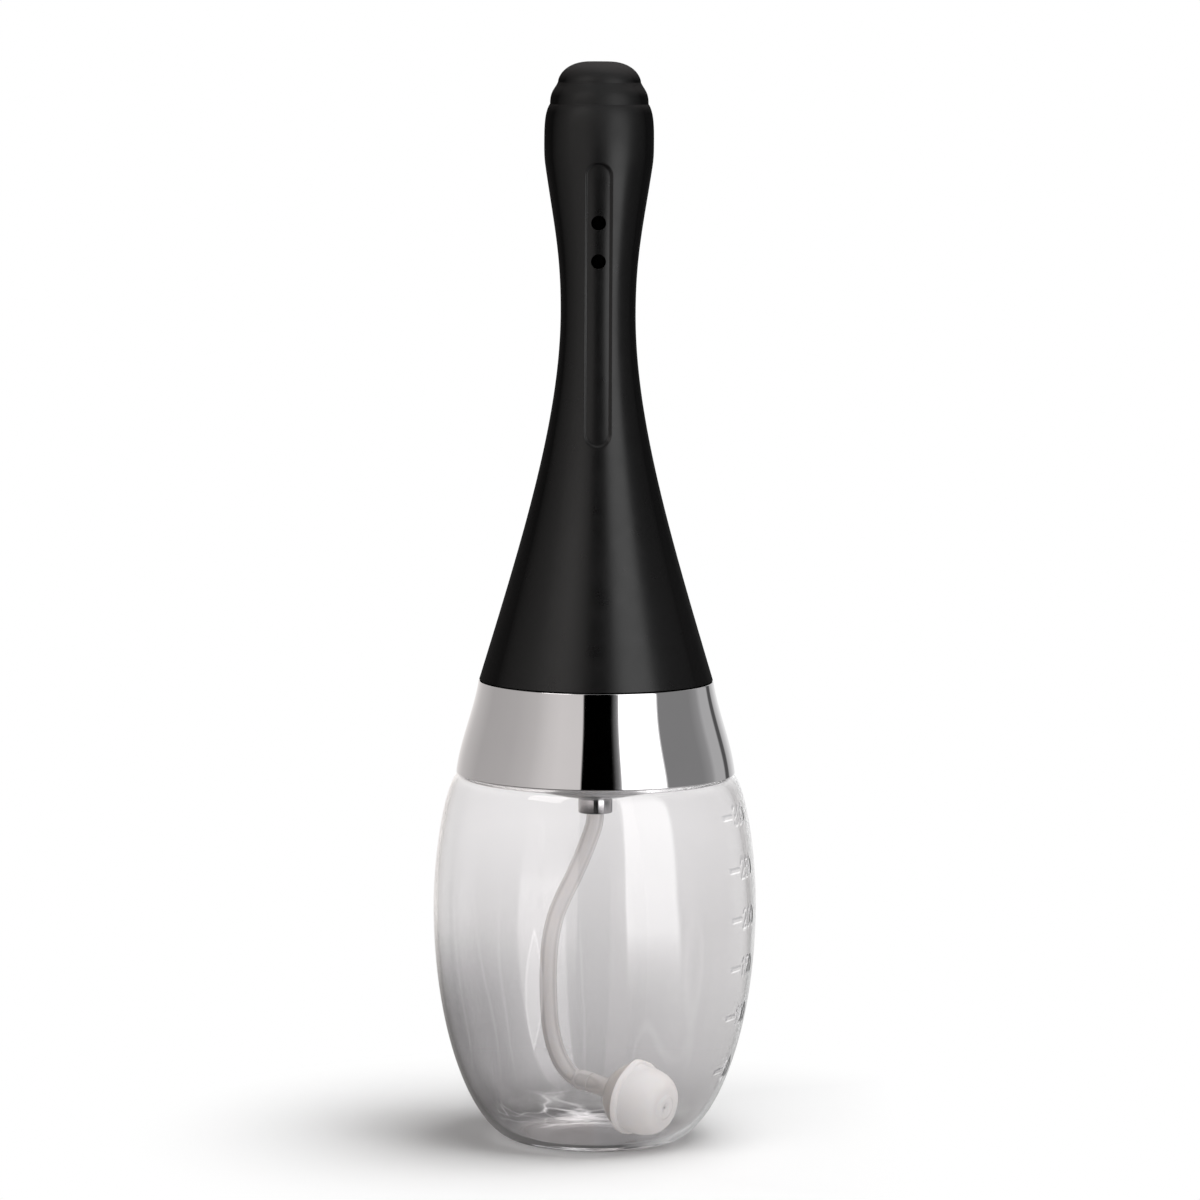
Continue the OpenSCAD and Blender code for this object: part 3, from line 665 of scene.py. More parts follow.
def tube(name, line, outer, inner, sides=32):
    """Mesh tube along a line. outer and inner give the radii at a share of the length."""
    n = len(line)
    verts, faces = [], []
    for layer in (outer, inner):
        for i, p in enumerate(line):
            ahead = (line[min(i + 1, n - 1)] - line[max(i - 1, 0)]).normalized()
            across = ahead.cross(Vector((0, 1, 0))).normalized()
            up = across.cross(ahead)
            r = layer(i / (n - 1))
            for k in range(sides):
                a = 2 * math.pi * k / sides
                verts.append(p + across * (r * math.cos(a)) + up * (r * math.sin(a)))

    def at(layer, i, k):
        return (layer * n + i) * sides + k % sides

    for i in range(n - 1):
        for k in range(sides):
            faces.append((at(0, i, k), at(0, i, k + 1), at(0, i + 1, k + 1), at(0, i + 1, k)))
            faces.append((at(1, i, k), at(1, i + 1, k), at(1, i + 1, k + 1), at(1, i, k + 1)))
    for k in range(sides):
        faces.append((at(0, 0, k), at(1, 0, k), at(1, 0, k + 1), at(0, 0, k + 1)))
        faces.append((at(0, n - 1, k), at(0, n - 1, k + 1), at(1, n - 1, k + 1), at(1, n - 1, k)))
    obj = new_object(name, [tuple(v) for v in verts], faces)
    tidy_mesh(obj)
    return obj


def line_from(line, z):
    """The line from the height z downwards, with a point at that height."""
    for i, (a, b) in enumerate(zip(line, line[1:])):
        if a.z >= z >= b.z:
            t = (a.z - z) / (a.z - b.z)
            return [a.lerp(b, t)] + line[i + 1:]
    return line


def add_hose(material):
    line = through(HOSE_ROUTE, 8)

    def swell(t):
        return HOSE_SWELL * float(smoothstep(np.array((t - SWELL_FROM) / SWELL_LENGTH)))

    def outer(t):
        return HOSE_R + swell(t)

    def inner(t):
        return HOSE_BORE_R + swell(t)

    free = line_from(line, HOSE_EXIT[2])
    hose = tube("suction_hose", free, outer, inner)
    smooth(hose, 50)
    paint(hose, material)
    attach(hose, "head")
    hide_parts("hose")
    length = sum((b - a).length for a, b in zip(free, free[1:]))
    return hose, free, length


# Bulb: smooth wall with its marks, numbers and neck thread raised from it.
# A pull is the length by which a curve is drawn straight on from its end.

FOOT_R = 18.0
FOOT_IN = 16.5
BULB_R = 38.95
BULB_WIDEST = 57
SIDE_R = 35.3
SIDE_Z = 85.0
SIDE_SLOPE = 0.33
CORNER_R = 33.9
SHOULDER_IN = 32.0
FOOT_PULL = 11.15
LOW_PULL = 31.25
HIGH_PULL = 9
SIDE_PULL = 7
NECK_FILLET = 0.8
FILLET_PULL = 0.45
RIM_ROUND = 0.4
THREAD_PITCH = 2.4
THREAD_PROUD = 0.85
THREAD_LOW = 92.4
THREAD_TURNS = 3.1
THREAD_HALF = 0.75


def bulb_profile(w, b, n):
    """Outline from the middle of the base up to the neck root, a wall w and a base b inwards."""
    r = BULB_R - w
    foot = FOOT_R - w / 2
    top = SHOULDER_Z - w
    side_r = SIDE_R - w
    rise = (top - SIDE_Z) / 2
    dish = curve((0, b + 1), (FOOT_IN / 2, b + 1), (FOOT_IN / 2, b), (FOOT_IN, b), n // 4)
    low = curve((foot, b), (foot + FOOT_PULL, b), (r, BULB_WIDEST - LOW_PULL), (r, BULB_WIDEST), n)
    high = curve((r, BULB_WIDEST), (r, BULB_WIDEST + HIGH_PULL),
                 (side_r + SIDE_SLOPE * SIDE_PULL, SIDE_Z - SIDE_PULL), (side_r, SIDE_Z), n // 2)
    corner = curve((side_r, SIDE_Z), (side_r - SIDE_SLOPE * rise, SIDE_Z + rise), (CORNER_R - w, top),
                   (SHOULDER_IN, top), n // 4)
    return joined(dish, low, high, corner)


def neck_profile(r, top, n):
    pull = NECK_FILLET * FILLET_PULL
    fillet = curve((r + NECK_FILLET, top), (r + pull, top), (r, top + pull), (r, top + NECK_FILLET), n)
    return joined(fillet, [(r, RIM_Z - RIM_ROUND)])


# Marks and numbers: turns in degrees from the front, heights in millimetres, digits in a box of height 1

MARK_HEIGHTS = (19.1, 32.4, 44.4, 56.3, 68.2, 80.8)
MARK_STEP = 50
MARK_TURN = 63.5
MARK_LEAN = 0.045
MARK_ANGLE = 7.0
MARK_H = 1.1
MARK_PROUD = 0.30
MARK_EDGE = 0.3
TEXT_AFTER = 4.8
TEXT_H = 4.3
TEXT_STROKE = 0.30
TEXT_EDGE = 0.32
TEXT_PROUD = 0.12
TEXT_GAP = 0.17
TEXT_NEAR = 0.3
DIGIT_W = 0.44
RELIEF_TURN = 0.3
RELIEF_Z = 0.2
SCALE_ZONE = (53, 80)
WALL_STEP = 1.4
MARK_MESH = 0.2
THREAD_MESH = 0.3


def arc(cx, cy, rx, ry, start, end, count=10):
    turns = [math.radians(start + (end - start) * k / count) for k in range(count + 1)]
    return [(cx + rx * math.cos(a), cy + ry * math.sin(a)) for a in turns]


def digit_strokes(digit):
    """Strokes of a digit in a box of DIGIT_W by 1."""
    m = DIGIT_W / 2
    if digit == "0":
        return [arc(m, 0.5, m, 0.5, 0, 360, 20)]
    if digit == "1":
        return [[(0.06, 0.76), (m, 1), (m, 0)]]
    if digit == "2":
        return [arc(m, 0.72, m, 0.28, 165, -35) + [(0, 0), (DIGIT_W, 0)]]
    if digit == "3":
        return [arc(m, 0.74, m * 0.92, 0.26, 150, -90), arc(m, 0.26, m, 0.26, 90, -150)]
    if digit == "5":
        return [[(DIGIT_W * 0.92, 1), (0.09, 1), (0.05, 0.56)], arc(m * 0.98, 0.33, m, 0.33, 132, -150)]
    raise ValueError(digit)


def stroke_distance(u, v, points):
    """Distance of the places (u, v) from a broken line."""
    best = np.full(np.broadcast(u, v).shape, 1e9)
    for (ax, ay), (bx, by) in zip(points, points[1:]):
        dx, dy = bx - ax, by - ay
        t = np.clip(((u - ax) * dx + (v - ay) * dy) / max(dx * dx + dy * dy, 1e-12), 0, 1)
        best = np.minimum(best, np.hypot(u - ax - t * dx, v - ay - t * dy))
    return best


def graduation(t, r, z):
    """Height of the marks and numbers above the bulb's wall, and their share of full height."""
    raised = np.zeros(np.broadcast(t, z).shape)
    share = np.zeros(raised.shape)
    for i, mark in enumerate(MARK_HEIGHTS):
        middle = MARK_TURN - MARK_LEAN * mark
        along = np.radians(np.abs(t - middle)) * r
        half = math.radians(MARK_ANGLE / 2) * r
        edge = np.minimum(half - along, MARK_H / 2 - np.abs(z - mark))
        bar = smoothstep(edge / MARK_EDGE + 0.5)
        raised = np.maximum(raised, MARK_PROUD * bar)
        share = np.maximum(share, bar)
        u0 = np.radians(t - middle - TEXT_AFTER) * r / TEXT_H
        v = (z - mark) / TEXT_H + 0.5
        for k, digit in enumerate(str(MARK_STEP * (i + 1))):
            u = u0 - k * (DIGIT_W + TEXT_GAP)
            near = (u > -TEXT_NEAR) & (u < DIGIT_W + TEXT_NEAR) & (v > -TEXT_NEAR) & (v < 1 + TEXT_NEAR)
            if not near.any():
                continue
            rows = np.where(near.any(1))[0]
            cols = np.where(near.any(0))[0]
            block = np.ix_(rows, cols)
            uu, vv = u[block], np.broadcast_to(v, near.shape)[block]
            d = np.minimum.reduce([stroke_distance(uu, vv, s) for s in digit_strokes(digit)]) * TEXT_H
            bump = smoothstep((TEXT_STROKE - d) / TEXT_EDGE + 0.5)
            raised[block] = np.maximum(raised[block], TEXT_PROUD * bump)
            share[block] = np.maximum(share[block], bump)
    return raised, share


def thread(t, r, z):
    """Height of the screw thread above the neck."""
    raised = np.zeros(np.broadcast(t, z).shape)
    for turn in range(-1, int(THREAD_TURNS) + 2):
        along = turn + t / 360
        centre = THREAD_LOW + along * THREAD_PITCH
        fade = smoothstep(along * 8) * smoothstep((THREAD_TURNS - along) * 8)
        ridge = smoothstep((THREAD_HALF - np.abs(z - centre)) / 0.5 + 0.3)
        raised = np.maximum(raised, THREAD_PROUD * ridge * fade)
    return raised


def add_bulb(material):
    band = TEXT_H / 2 + 0.5

    def step(z):
        if z > SHOULDER_Z + 1:
            return THREAD_MESH
        if any(abs(z - m) < band for m in MARK_HEIGHTS):
            return MARK_MESH
        return WALL_STEP

    outer = joined(bulb_profile(0, 0, 56), neck_profile(NECK_R, SHOULDER_Z, 6))
    outer = spaced(outer, step)
    split = len(outer)
    rim = curve((NECK_R, RIM_Z - RIM_ROUND), (NECK_R, RIM_Z - 0.1), (NECK_R - 0.1, RIM_Z),
                (NECK_R - RIM_ROUND, RIM_Z), 4)
    inner_r = NECK_R - NECK_WALL
    inner_rim = curve((inner_r + RIM_ROUND, RIM_Z), (inner_r + 0.1, RIM_Z), (inner_r, RIM_Z - 0.1),
                      (inner_r, RIM_Z - RIM_ROUND), 4)
    inner = joined(bulb_profile(BULB_WALL, BASE_WALL, 44), neck_profile(inner_r, SHOULDER_Z - BULB_WALL, 5))
    outline = joined(outer, rim, inner_rim, list(reversed(inner)))
    turns = turns_with([SCALE_ZONE], 0.26, 2.4)

    def push(t, r, z):
        raised = np.zeros(np.broadcast(t, z).shape)
        out_r, out_z = r[:split], z[:split]
        rows = np.where((out_z < SHOULDER_Z - 1).ravel())[0]
        raised[rows] = graduation(t, out_r[rows], out_z[rows])[0]
        neck = np.where((out_z > SHOULDER_Z + 0.9).ravel())[0]
        raised[neck] = thread(t, out_r[neck], out_z[neck])
        return raised

    def relief(t, r, z):
        """Above 0 on the upper and near edges of the relief, below 0 on the lower and far ones: painted shade
        goes on the first and painted light on the second.
        """
        painted_shading = np.zeros(np.broadcast(t, z).shape)
        rows = np.where((z[:split] < SHOULDER_Z - 1).ravel())[0]
        lower = graduation(t + RELIEF_TURN, r[rows], z[rows] - RELIEF_Z)[1]
        upper = graduation(t - RELIEF_TURN, r[rows], z[rows] + RELIEF_Z)[1]
        painted_shading[rows] = lower - upper
        return painted_shading

    bulb = lathe("bulb_wall", outline, turns, push, relief=relief)
    smooth(bulb, 60)
    paint(bulb, material)
    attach(bulb, "bulb")
    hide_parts("squeeze_bulb")


# Collar, dome cup and hose nut

WEB_Z = 109.5
WEB_BORE_R = 21.55
SHELL_BORE_R = 26.9
SLEEVE_TOP = 102.6
COLLAR_LOW_R = 33.6
COLLAR_TOP_R = 28.25
COLLAR_WALL = 1.6
COLLAR_LIP = 0.35
LOW_SLOPE = 0.1
TOP_SLOPE = 0.15


def collar_outside(n):
    third = (COLLAR_TOP - COLLAR_LOW) / 3
    return curve((COLLAR_LOW_R, COLLAR_LOW), (COLLAR_LOW_R - LOW_SLOPE * third, COLLAR_LOW + third),
                 (COLLAR_TOP_R + TOP_SLOPE * third, COLLAR_TOP - third), (COLLAR_TOP_R, COLLAR_TOP), n)


def add_collar(material):
    side = collar_outside(40)
    lip = COLLAR_LIP
    inside = [(r - COLLAR_WALL, z) for r, z in side if z < SLEEVE_TOP]
    low = curve((COLLAR_LOW_R - COLLAR_WALL + lip, COLLAR_LOW), (COLLAR_LOW_R - lip, COLLAR_LOW),
                (COLLAR_LOW_R, COLLAR_LOW + 0.02), (COLLAR_LOW_R - LOW_SLOPE * lip, COLLAR_LOW + lip), 6)
    side = [p for p in side if COLLAR_LOW + lip < p[1] < COLLAR_TOP - lip]
    top = curve((COLLAR_TOP_R + TOP_SLOPE * lip, COLLAR_TOP - lip), (COLLAR_TOP_R, COLLAR_TOP),
                (COLLAR_TOP_R, COLLAR_TOP), (COLLAR_TOP_R - lip, COLLAR_TOP), 5)
    web = [(WEB_BORE_R, COLLAR_TOP), (WEB_BORE_R, WEB_Z), (SHELL_BORE_R, WEB_Z), (SHELL_BORE_R, SLEEVE_TOP),
           (inside[-1][0], SLEEVE_TOP)]
    outline = joined(low, side, top, web, list(reversed(inside)))
    collar = lathe("collar_skirt", outline, even_turns(256), closed=True)
    smooth(collar, 40)
    paint(collar, material)
    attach(collar, "collar")
    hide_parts("collar_shell")


DOME_R = 30.7
DOME_MID = 113.7
DOME_LOW = 83.0
CUP_R = 24.3
FLANGE_Z = 105.2
FLANGE_TOP = 109.2
FLANGE_R = 26.5
SOCKET_R = 21.4
SOCKET_Z = 99.5
VALVE_Y = 13.0
SPOT_R = 4.0
SPOT_TOP = 88.14
DOME_WALL = 1.8
DOME_BORE_R = 3.3
SOCKET_STEP = 2.0


def add_dome(material):
    n = 48
    edge = math.degrees(math.asin(CUP_R / DOME_R))
    start = math.degrees(math.asin(DOME_BORE_R / DOME_R))

    def ball(r, a):
        return (r * math.sin(math.radians(a)), DOME_MID - r * math.cos(math.radians(a)))

    under = [ball(DOME_R, start + (edge - start) * k / n) for k in range(n + 1)]
    inner_r = DOME_R - DOME_WALL
    inner_edge = math.degrees(math.asin((SOCKET_R - SOCKET_STEP) / inner_r))
    inner = [ball(inner_r, start + (inner_edge - start) * k / 20) for k in range(21)]
    wall = [under[-1], (CUP_R, FLANGE_Z), (FLANGE_R, FLANGE_Z), (FLANGE_R, FLANGE_TOP),
            (SOCKET_R, FLANGE_TOP), (SOCKET_R, SOCKET_Z), (SOCKET_R - SOCKET_STEP, SOCKET_Z)]
    wall = rounded(wall, {2: 0.3, 3: 0.3})
    outline = joined(under, wall, list(reversed(inner)))
    dome = lathe("dome_bowl", outline, even_turns(192), closed=True)
    pocket = cylinder("pocket_cutter", SPOT_R, DOME_LOW - 1, SPOT_TOP)
    pocket.data.transform(Matrix.Translation((0, VALVE_Y * MM, 0)))
    cut(dome, pocket)
    smooth(dome, 35)
    paint(dome, material)
    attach(dome, "head")
    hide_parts("dome_cup")


def add_nut(material):
    low, high, r, hole = 79.4, 83.2, 4.15, 2.2
    outline = [(hole, low + 0.25), (hole + 0.25, low), (r - 0.3, low), (r - 0.08, low + 0.1),
               (r, low + 0.3), (r, high - 0.1), (r - 0.1, high), (hole, high)]
    nut = lathe("hose_collet", outline, even_turns(96), closed=True)
    smooth(nut, 35)
    paint(nut, material)
    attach(nut, "head")
    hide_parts("hose_nut")
    return nut


# Nozzle: soft sleeve with its outlet slot and holes

SLOT_HALF = 3.05
SLOT_LOW = 168.8
SLOT_HIGH = 235.8
SLOT_DEPTH = 0.5
SLOT_EDGE = 0.6
HOLE_D = 3.55
HOLE_HEIGHTS = (212.5, 221.7)
TIP_FLAT_R = 2.2
TIP_BORE_R = 1.5
TIP_BORE_LOW = 249.2
NOZZLE_WALL = 2.5
HOLLOW_TOP = 240.5
HOLLOW_END = [(8.0, TIP_BORE_LOW), (10.4, 241)]
DRILL_REACH = 20
SLOT_ZONES = [(0, 22), (338, 360)]
FLARE_TOP = 165
FLARE_STEP = 1.6
SLOT_STEP = 0.5
SLOT_END_STEP = 0.25

# Points of the outside, as (radius, height), from the foot up
NOZZLE_FOOT = (28.1, NOZZLE_Z)
WAIST = (8.98, 200)
THROAT = (12.44, 232.6)
HEAD = (13.1, 241)
BROW = (11.95, 249.4)
STEP_LOW = (11.75, 249.85)
STEP_TOP = (10.0, 254.65)
CAP_LOW = (9.9, 255.0)
CAP_TOP = (TIP_FLAT_R, TIP_Z)


def nozzle_outside():
    flare = curve(NOZZLE_FOOT, (17.63, 146.5), (WAIST[0], 175), WAIST, 70)
    throat = curve(WAIST, (WAIST[0], 213), (10.41, 219.6), THROAT, 30)
    head = curve(THROAT, (13.06, 236.6), (HEAD[0], 237), HEAD, 12)
    brow = curve(HEAD, (HEAD[0], 245.2), (12.9, 247.6), BROW, 16)
    groove = curve(BROW, (11.78, 249.62), (11.72, 249.68), STEP_LOW, 3)
    step = curve(STEP_LOW, (STEP_LOW[0], 252.6), (10.65, 253.25), STEP_TOP, 14)
    groove_2 = curve(STEP_TOP, (9.88, 254.8), (9.86, 254.88), CAP_LOW, 3)
    cap = curve(CAP_LOW, (9.6, 257.11), (7.2, TIP_Z), CAP_TOP, 22)
    return joined(flare, throat, head, brow, groove, step, groove_2, cap)


def slot_push(t, r, z):
    """Depth of the outlet slot in front."""
    x = np.abs(r * np.sin(np.radians(t)))
    middle = np.clip(z, SLOT_LOW + SLOT_HALF, SLOT_HIGH - SLOT_HALF)
    outside = np.hypot(x, z - middle) - SLOT_HALF
    shaped = (r > 8.5) & (z > 150) & (np.cos(np.radians(t)) > 0)
    return np.where(shaped, -SLOT_DEPTH * smoothstep(0.5 - outside / SLOT_EDGE), 0)


def add_nozzle(material):
    def step(z):
        if abs(z - SLOT_LOW - 1.5) < 3 or abs(z - SLOT_HIGH + 1.5) < 3:
            return SLOT_END_STEP
        return SLOT_STEP if z > FLARE_TOP else FLARE_STEP

    outer = spaced(nozzle_outside(), step)
    outer[-1] = CAP_TOP
    split = len(outer)
    tip_hole = [(TIP_BORE_R + 0.2, TIP_Z), (TIP_BORE_R, TIP_Z - 0.2), (TIP_BORE_R, TIP_BORE_LOW)]
    inside = [(r - NOZZLE_WALL, z) for r, z in outer if z < HOLLOW_TOP][::-1][::3]
    inside = inside + [(NOZZLE_FOOT[0] - NOZZLE_WALL, NOZZLE_Z)]
    outline = joined(outer, tip_hole, HOLLOW_END, inside)
    turns = turns_with(SLOT_ZONES, 0.5, 2.0)

    def push(t, r, z):
        depth = np.zeros(np.broadcast(t, z).shape)
        depth[:split] = slot_push(t, r[:split], z[:split])
        return depth

    nozzle = lathe("nozzle_skin", outline, turns, push, closed=True)
    for z in HOLE_HEIGHTS:
        drill = cylinder("drill", HOLE_D / 2, 0, DRILL_REACH)
        drill.data.transform(Matrix.Translation((0, 0, z * MM)) @ Matrix.Rotation(math.radians(90), 4, "X"))
        cut(nozzle, drill)
    smooth(nozzle, 38)
    paint(nozzle, material)
    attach(nozzle, "head")
    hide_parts("nozzle_sleeve")


# Hose weight: back cup with its stub, and front dome with its rim

WEIGHT_MID = (10.862, -11.040, 11.415)
WEIGHT_AXIS = (0.7836, -0.6028, -0.1507)
WEIGHT_R = 8.75
WEIGHT_WALL = 1.2
RIM_R = 9.15
RIM_FRONT = -0.4
RIM_W = 1.6
STUB_R = 2.45
STUB_REACH = 14.5
INLET_R = 0.35
SHOULDER_R = 8.3
FACE_R = 4.375
FACE_Z = 7.8
MOUTH_R = 3.0
MOUTH_Z = 8.25
LUMP = 0.55
LUMP_SIDE = 8
LUMP_SPREAD = 15
LUMP_TOP = 1.2
LUMP_FADE = 1.4


def weight_turn():
    return Vector((0, 0, 1)).rotation_difference(Vector(WEIGHT_AXIS)).to_matrix().to_4x4()


def to_weight(obj):
    """Puts a piece turned about Z, with z = 0 at the weight's middle, into the weight's place."""
    obj.data.transform(Matrix.Translation(Vector(WEIGHT_MID) * MM) @ weight_turn())


def globe(r, low, high, count):
    """Outline of a ball of radius r between two heights."""
    a, b = math.asin(low / r), math.asin(high / r)
    turns = [a + (b - a) * k / count for k in range(count + 1)]
    return [(r * math.cos(t), r * math.sin(t)) for t in turns]


def add_weight(material, back_material, stub_material):
    inner = WEIGHT_R - WEIGHT_WALL
    rim_back = RIM_FRONT - RIM_W
    stub_z = -math.sqrt(WEIGHT_R**2 - STUB_R**2)
    back = joined([(1.0, -STUB_REACH), (STUB_R - 0.2, -STUB_REACH), (STUB_R, -STUB_REACH + 0.2),
                   (STUB_R, stub_z - 0.4), (STUB_R + 0.4, stub_z + 0.1)],
                  globe(WEIGHT_R, stub_z + 0.25, rim_back, 24),
                  list(reversed(globe(inner, -inner * 0.99, rim_back, 24))), [(1.0, -inner * 0.99)])
    cup = lathe("weight_cup", back, even_turns(96), closed=True)
    stub_faces = [i for i, face in enumerate(cup.data.polygons) if face.center.z < (stub_z - 0.3) * MM]
    rim = curve((SHOULDER_R, rim_back), (RIM_R, rim_back), (RIM_R + 0.05, rim_back + 0.3),
                (RIM_R, rim_back + RIM_W / 2), 6)
    rim += curve((RIM_R, rim_back + RIM_W / 2), (RIM_R - 0.02, RIM_FRONT - 0.1), (RIM_R - 0.2, RIM_FRONT),
                 (SHOULDER_R + 0.05, RIM_FRONT + 0.1), 6)
    swell = curve((SHOULDER_R, RIM_FRONT + 0.2), (SHOULDER_R + 0.2, RIM_FRONT + 4.2), (FACE_R + 2.8, FACE_Z),
                  (FACE_R, FACE_Z), 30)
    boss = curve((MOUTH_R + 0.4, FACE_Z), (MOUTH_R - 0.1, FACE_Z), (MOUTH_R - 0.2, MOUTH_Z),
                 (MOUTH_R - 0.7, MOUTH_Z), 10)
    dimple = curve((1.6, MOUTH_Z - 0.02), (1.2, MOUTH_Z - 0.05), (0.9, MOUTH_Z - 0.35),
                   (INLET_R, MOUTH_Z - 0.45), 8) + [(INLET_R, inner * 0.995)]
    front = joined(rim, swell, boss, dimple, list(reversed(globe(inner, rim_back, inner * 0.99, 24))))
    up = weight_turn().inverted() @ Vector((0, 0, 1))
    lump_turn = math.degrees(math.atan2(up.x, -up.y)) + LUMP_SIDE

    def lump(t, r, z):
        away = (t - lump_turn + 180) % 360 - 180
        low = smoothstep((LUMP_TOP - z) / LUMP_FADE)
        return LUMP * np.exp(-(away / LUMP_SPREAD) ** 2) * low * (r > SHOULDER_R - 0.3)

    dome = lathe("weight_dome", front, even_turns(144), lump, closed=True)
    for obj, node, mat in ((cup, "weight_back_shell", back_material), (dome, "weight_front_shell", material)):
        to_weight(obj)
        smooth(obj, 40)
        paint(obj, mat)
        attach(obj, "head")
        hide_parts(node)
    cup.data.materials.append(stub_material)
    for i in stub_faces:
        cup.data.polygons[i].material_index = 1
    return cup, dome


# Stage: floor, mirrored studio wall, soft lamps and world

FLOOR_SIZE = 12
FLOOR_NEAR = 0.045
FLOOR_FAR = 0.115
FLOOR_RIGHT = (0.026, 0.075)
MIRRORED_NEAR = 0.10
MIRRORED_FAR = 0.40

# Studio as shiny pieces mirror it: angles from the front towards +X in degrees, and brightness there
WALL_R = 1600
WALL_H = 2400
WALL_TOP = 2.4
WALL_WARM = (1.0, 0.965, 0.945)
WALL_DIM = 0.3
WALL_FADE = (1.2, 2.2)
WORLD_LIGHT = 0.06
WALL_LEVELS = [(-180, 1.0), (-165, 0.85), (-144, 0.63), (-117, 0.49), (-80, 0.53), (-58, 0.61), (-45, 0.73),
               (-33, 0.79), (-12.6, 0.77), (-12, 0), (15, 0), (21, 0.3), (22.5, 2.4), (59.5, 2.4), (61, 0.26),
               (100, 0.26), (112, 0.34), (118, 0.50), (134, 0.50), (136, 0.10), (143, 0.10), (145, 0.50),
               (160, 0.8), (180, 1.0)]
# Near the object, as shiny pieces mirror it: darker in front and to the left, a painted shadow
NEAR_LEVELS = [(-180, 0.35), (-125, 0.20), (-90, 0.15), (-60, 0.08), (20, 0.02), (45, 0.4), (65, 0.6),
               (180, 0.6)]


def studio_colour(s, levels):
    """Colour of the studio by the angle round the object, 1 at WALL_TOP."""
    turn = s.maths("ARCTAN2", s.axis("X"), s.both(s.axis("Y"), -1.0))
    stops = []
    for angle, level in levels:
        warm = WALL_WARM if angle < 0 else (1, 1, 1)
        stops.append(((angle + 180) / 360, tuple(level / WALL_TOP * c for c in warm)))
    return s.colours(s.rise(turn, -math.pi, math.pi), stops)


def add_floor():
    """White floor with the shadow only near the object. Shiny pieces mirror the studio in it, and near the
    object a painted shadow, darker in front and to the left.
    """
    size = FLOOR_SIZE
    floor = new_object("floor", [(-size, -size, 0), (size, -size, 0), (size, size, 0), (-size, size, 0)],
                       [(0, 1, 2, 3)])
    s = Shader("floor", (0.86, 0.86, 0.86), 0.9, Specular_IOR_Level=0.0)
    s.set("Base Color", s.tint(s.noise(30, 2), (0.855, 0.855, 0.855), (0.865, 0.865, 0.865)))
    seen = s.maths("MAXIMUM", s.ray("Is Camera Ray"), s.ray("Is Transmission Ray"))
    white = s.node("ShaderNodeEmission")
    length = s.node("ShaderNodeVectorMath", operation="LENGTH")
    s.link(s.place, length.inputs[0])
    away = s.spread(length.outputs["Value"], 0.0, 1.0, FLOOR_NEAR, FLOOR_FAR, "SMOOTHSTEP")
    away = s.maths("MAXIMUM", away, s.rise(s.axis("X"), *FLOOR_RIGHT))
    plain_floor = s.mix_shader(s.both(away, seen), s.bsdf.outputs["BSDF"], white.outputs[0])
    mirrored = s.node("ShaderNodeEmission")
    far_off = s.spread(length.outputs["Value"], 0.0, 1.0, MIRRORED_NEAR, MIRRORED_FAR, "SMOOTHSTEP")
    studio = s.tint(far_off, studio_colour(s, NEAR_LEVELS), studio_colour(s, WALL_LEVELS))
    s.link(studio, mirrored.inputs["Color"])
    mirrored.inputs["Strength"].default_value = WALL_TOP
    in_mirrors = s.maths("GREATER_THAN", s.ray("Glossy Depth"), 0.5)
    s.link(s.mix_shader(in_mirrors, plain_floor, mirrored.outputs[0]), s.output.inputs["Surface"])
    paint(floor, s.material)


def add_wall():
    """Round wall seen only in reflections, with its soft windows and a dark gap behind the camera."""
    wall = lathe("studio_wall", [(WALL_R, 0), (WALL_R, WALL_H)], even_turns(96))
    s = Shader("studio_wall", (0, 0, 0), 1)
    glow = s.node("ShaderNodeEmission")
    s.link(studio_colour(s, WALL_LEVELS), glow.inputs["Color"])
    s.link(s.spread(s.axis("Z"), WALL_TOP, WALL_TOP * WALL_DIM, *WALL_FADE), glow.inputs["Strength"])
    s.link(glow.outputs[0], s.output.inputs["Surface"])
    paint(wall, s.material)
    for kind in ("camera", "diffuse", "volume_scatter", "shadow"):
        setattr(wall, "visible_" + kind, False)


def add_lamp(name, turn, distance, height, width, tall, radiance, colour=(1, 1, 1), aim=None, mirrored=False):
    """Soft area lamp at a turn from the front towards +X in degrees, looking at the aim."""
    data = bpy.data.lights.new(name, "AREA")
    data.shape = "RECTANGLE"
    data.size = width
    data.size_y = tall
    data.energy = radiance * math.pi * width * tall
    data.color = colour
    lamp = bpy.data.objects.new(name, data)
    bpy.context.scene.collection.objects.link(lamp)
    a = math.radians(turn)
    lamp.location = (distance * math.sin(a), -distance * math.cos(a), height)
    target = Vector(aim) if aim else Vector((0, 0, height))
    lamp.rotation_mode = "QUATERNION"
    lamp.rotation_quaternion = (target - lamp.location).to_track_quat("-Z", "Y")
    lamp.visible_camera = False
    lamp.visible_transmission = False
    lamp.visible_glossy = mirrored


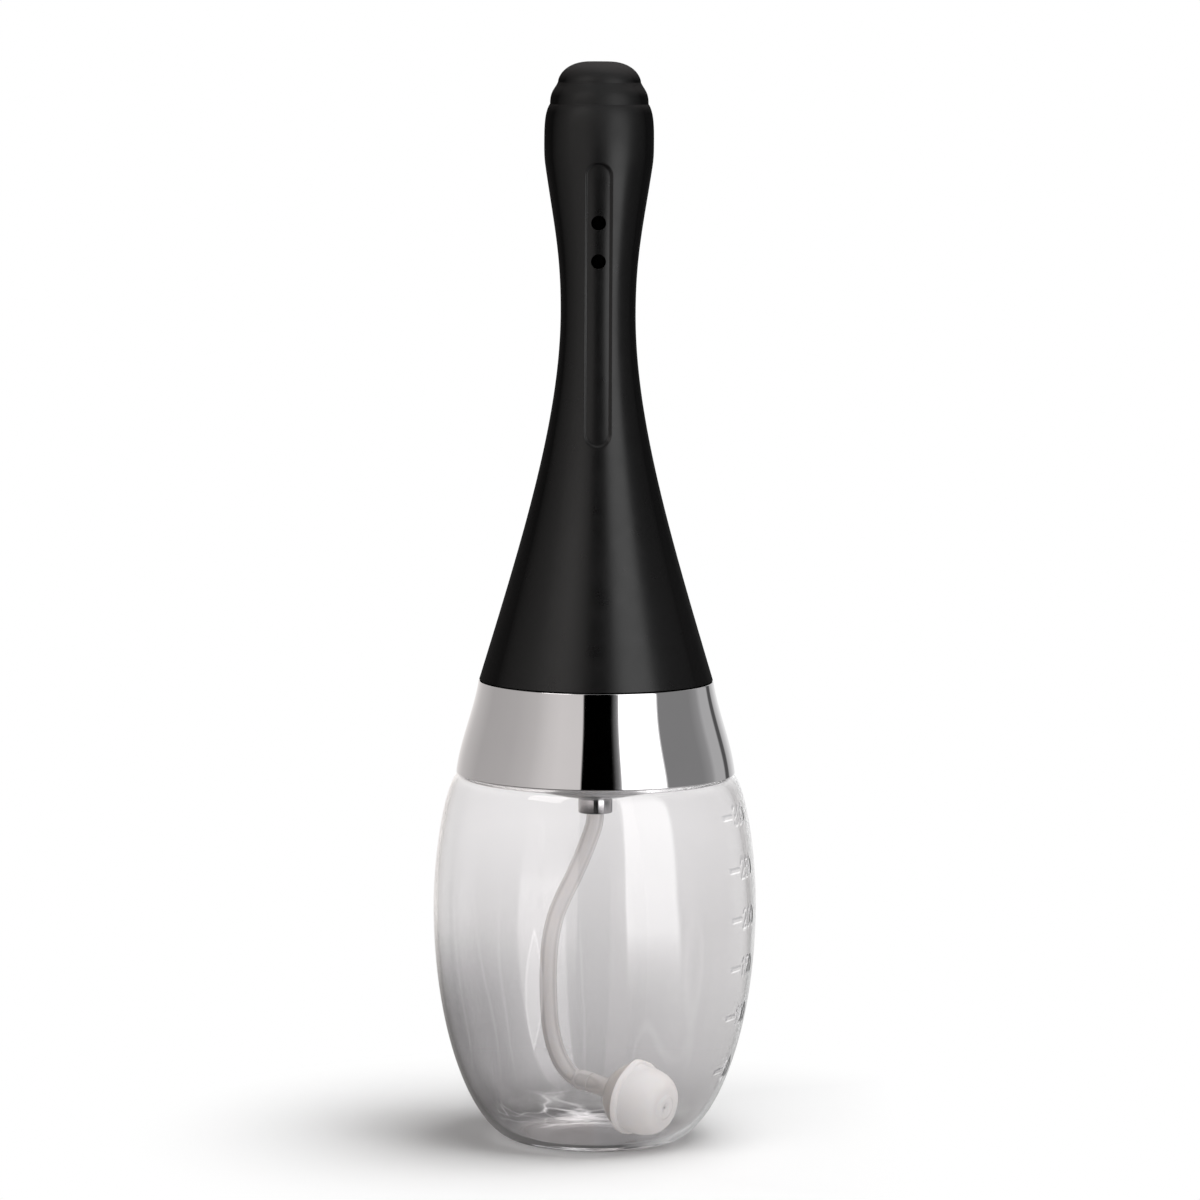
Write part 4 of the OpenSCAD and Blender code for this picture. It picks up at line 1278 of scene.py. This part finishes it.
def add_light():
    add_lamp("key", 74, 0.42, height=1.3, width=1.1, tall=1.1, radiance=4.6, aim=(0, 0, 0))
    add_lamp("top", 0, 0.01, height=1.5, width=1.2, tall=1.2, radiance=0.55, aim=(0, 0, 0), mirrored=True)
    add_lamp("fill_right", 41.5, 0.9, height=0.45, width=0.60, tall=0.9, radiance=1.2)
    add_lamp("fill_left", -36, 0.9, height=0.45, width=0.78, tall=0.9, radiance=0.7, colour=WALL_WARM)
    add_lamp("softbox_left", -45, 0.95, height=0.95, width=0.6, tall=0.45, radiance=2.5, colour=WALL_WARM,
             aim=(0, 0, 0.16), mirrored=True)
    add_wall()
    world = bpy.data.worlds.new("world")
    bpy.context.scene.world = world
    world.use_nodes = True
    tree = world.node_tree
    back = tree.nodes["Background"]
    path = tree.nodes.new("ShaderNodeLightPath")
    seen = tree.nodes.new("ShaderNodeMath")
    seen.operation = "MAXIMUM"
    for socket, kind in zip(seen.inputs, ("Camera", "Transmission")):
        tree.links.new(path.outputs[f"Is {kind} Ray"], socket)
    level = tree.nodes.new("ShaderNodeMapRange")
    level.inputs["To Min"].default_value = WORLD_LIGHT
    level.inputs["To Max"].default_value = 1.0
    tree.links.new(seen.outputs[0], level.inputs["Value"])
    back.inputs["Color"].default_value = (1, 1, 1, 1)
    tree.links.new(level.outputs["Result"], back.inputs["Strength"])


def dress_inner_pieces():
    """Materials for the inner pieces, whose shape stays as it is."""
    black = black_plastic()
    seal = plain("seal_rubber", (0.05, 0.05, 0.05), (0.08, 0.08, 0.08), 0.5)
    white = plain("white_plastic", (0.82, 0.82, 0.80), (0.76, 0.76, 0.74), 0.35)
    steel = plain("steel", (0.62, 0.63, 0.65), (0.56, 0.57, 0.59), 0.2, metallic=1.0)
    brass = plain("brass", (0.72, 0.58, 0.33), (0.64, 0.50, 0.28), 0.25, metallic=1.0)
    finish = {"neck_gasket": white, "collar_sleeve": black, "nozzle_core": black, "core_o_ring": seal,
              "valve_body": brass, "check_ball": steel, "valve_cap": white, "riser_tube": white,
              "air_valve": seal, "weight_slug": steel}
    for name, material in finish.items():
        paint(nodes[name], material)


def main():
    bpy.context.scene.view_settings.view_transform = "Standard"
    add_camera()
    milky_hose = hose_plastic()
    milky_shell = milky("milky_shell", (0.94, 0.905, 0.885), (0.72, 0.68, 0.66), 0.34)
    # The back shell: a darker copy of the milky plastic, with less painted glow
    milky_back = milky("milky_back", (0.72, 0.68, 0.65), (0.66, 0.63, 0.61), 0.15)
    hose, line, length = add_hose(milky_hose)
    metal = chrome("chrome", 0.72)
    add_bulb(clear_plastic())
    add_collar(metal)
    # The dome's plating is set darker than the collar's: painted shade for its place under the collar
    add_dome(chrome("chrome_dome", 0.42, 0.40))
    nut = add_nut(metal)
    add_nozzle(satin_black())
    cup, dome = add_weight(milky_shell, milky_back, milky_hose)
    dress_inner_pieces()
    add_floor()
    add_light()


main()
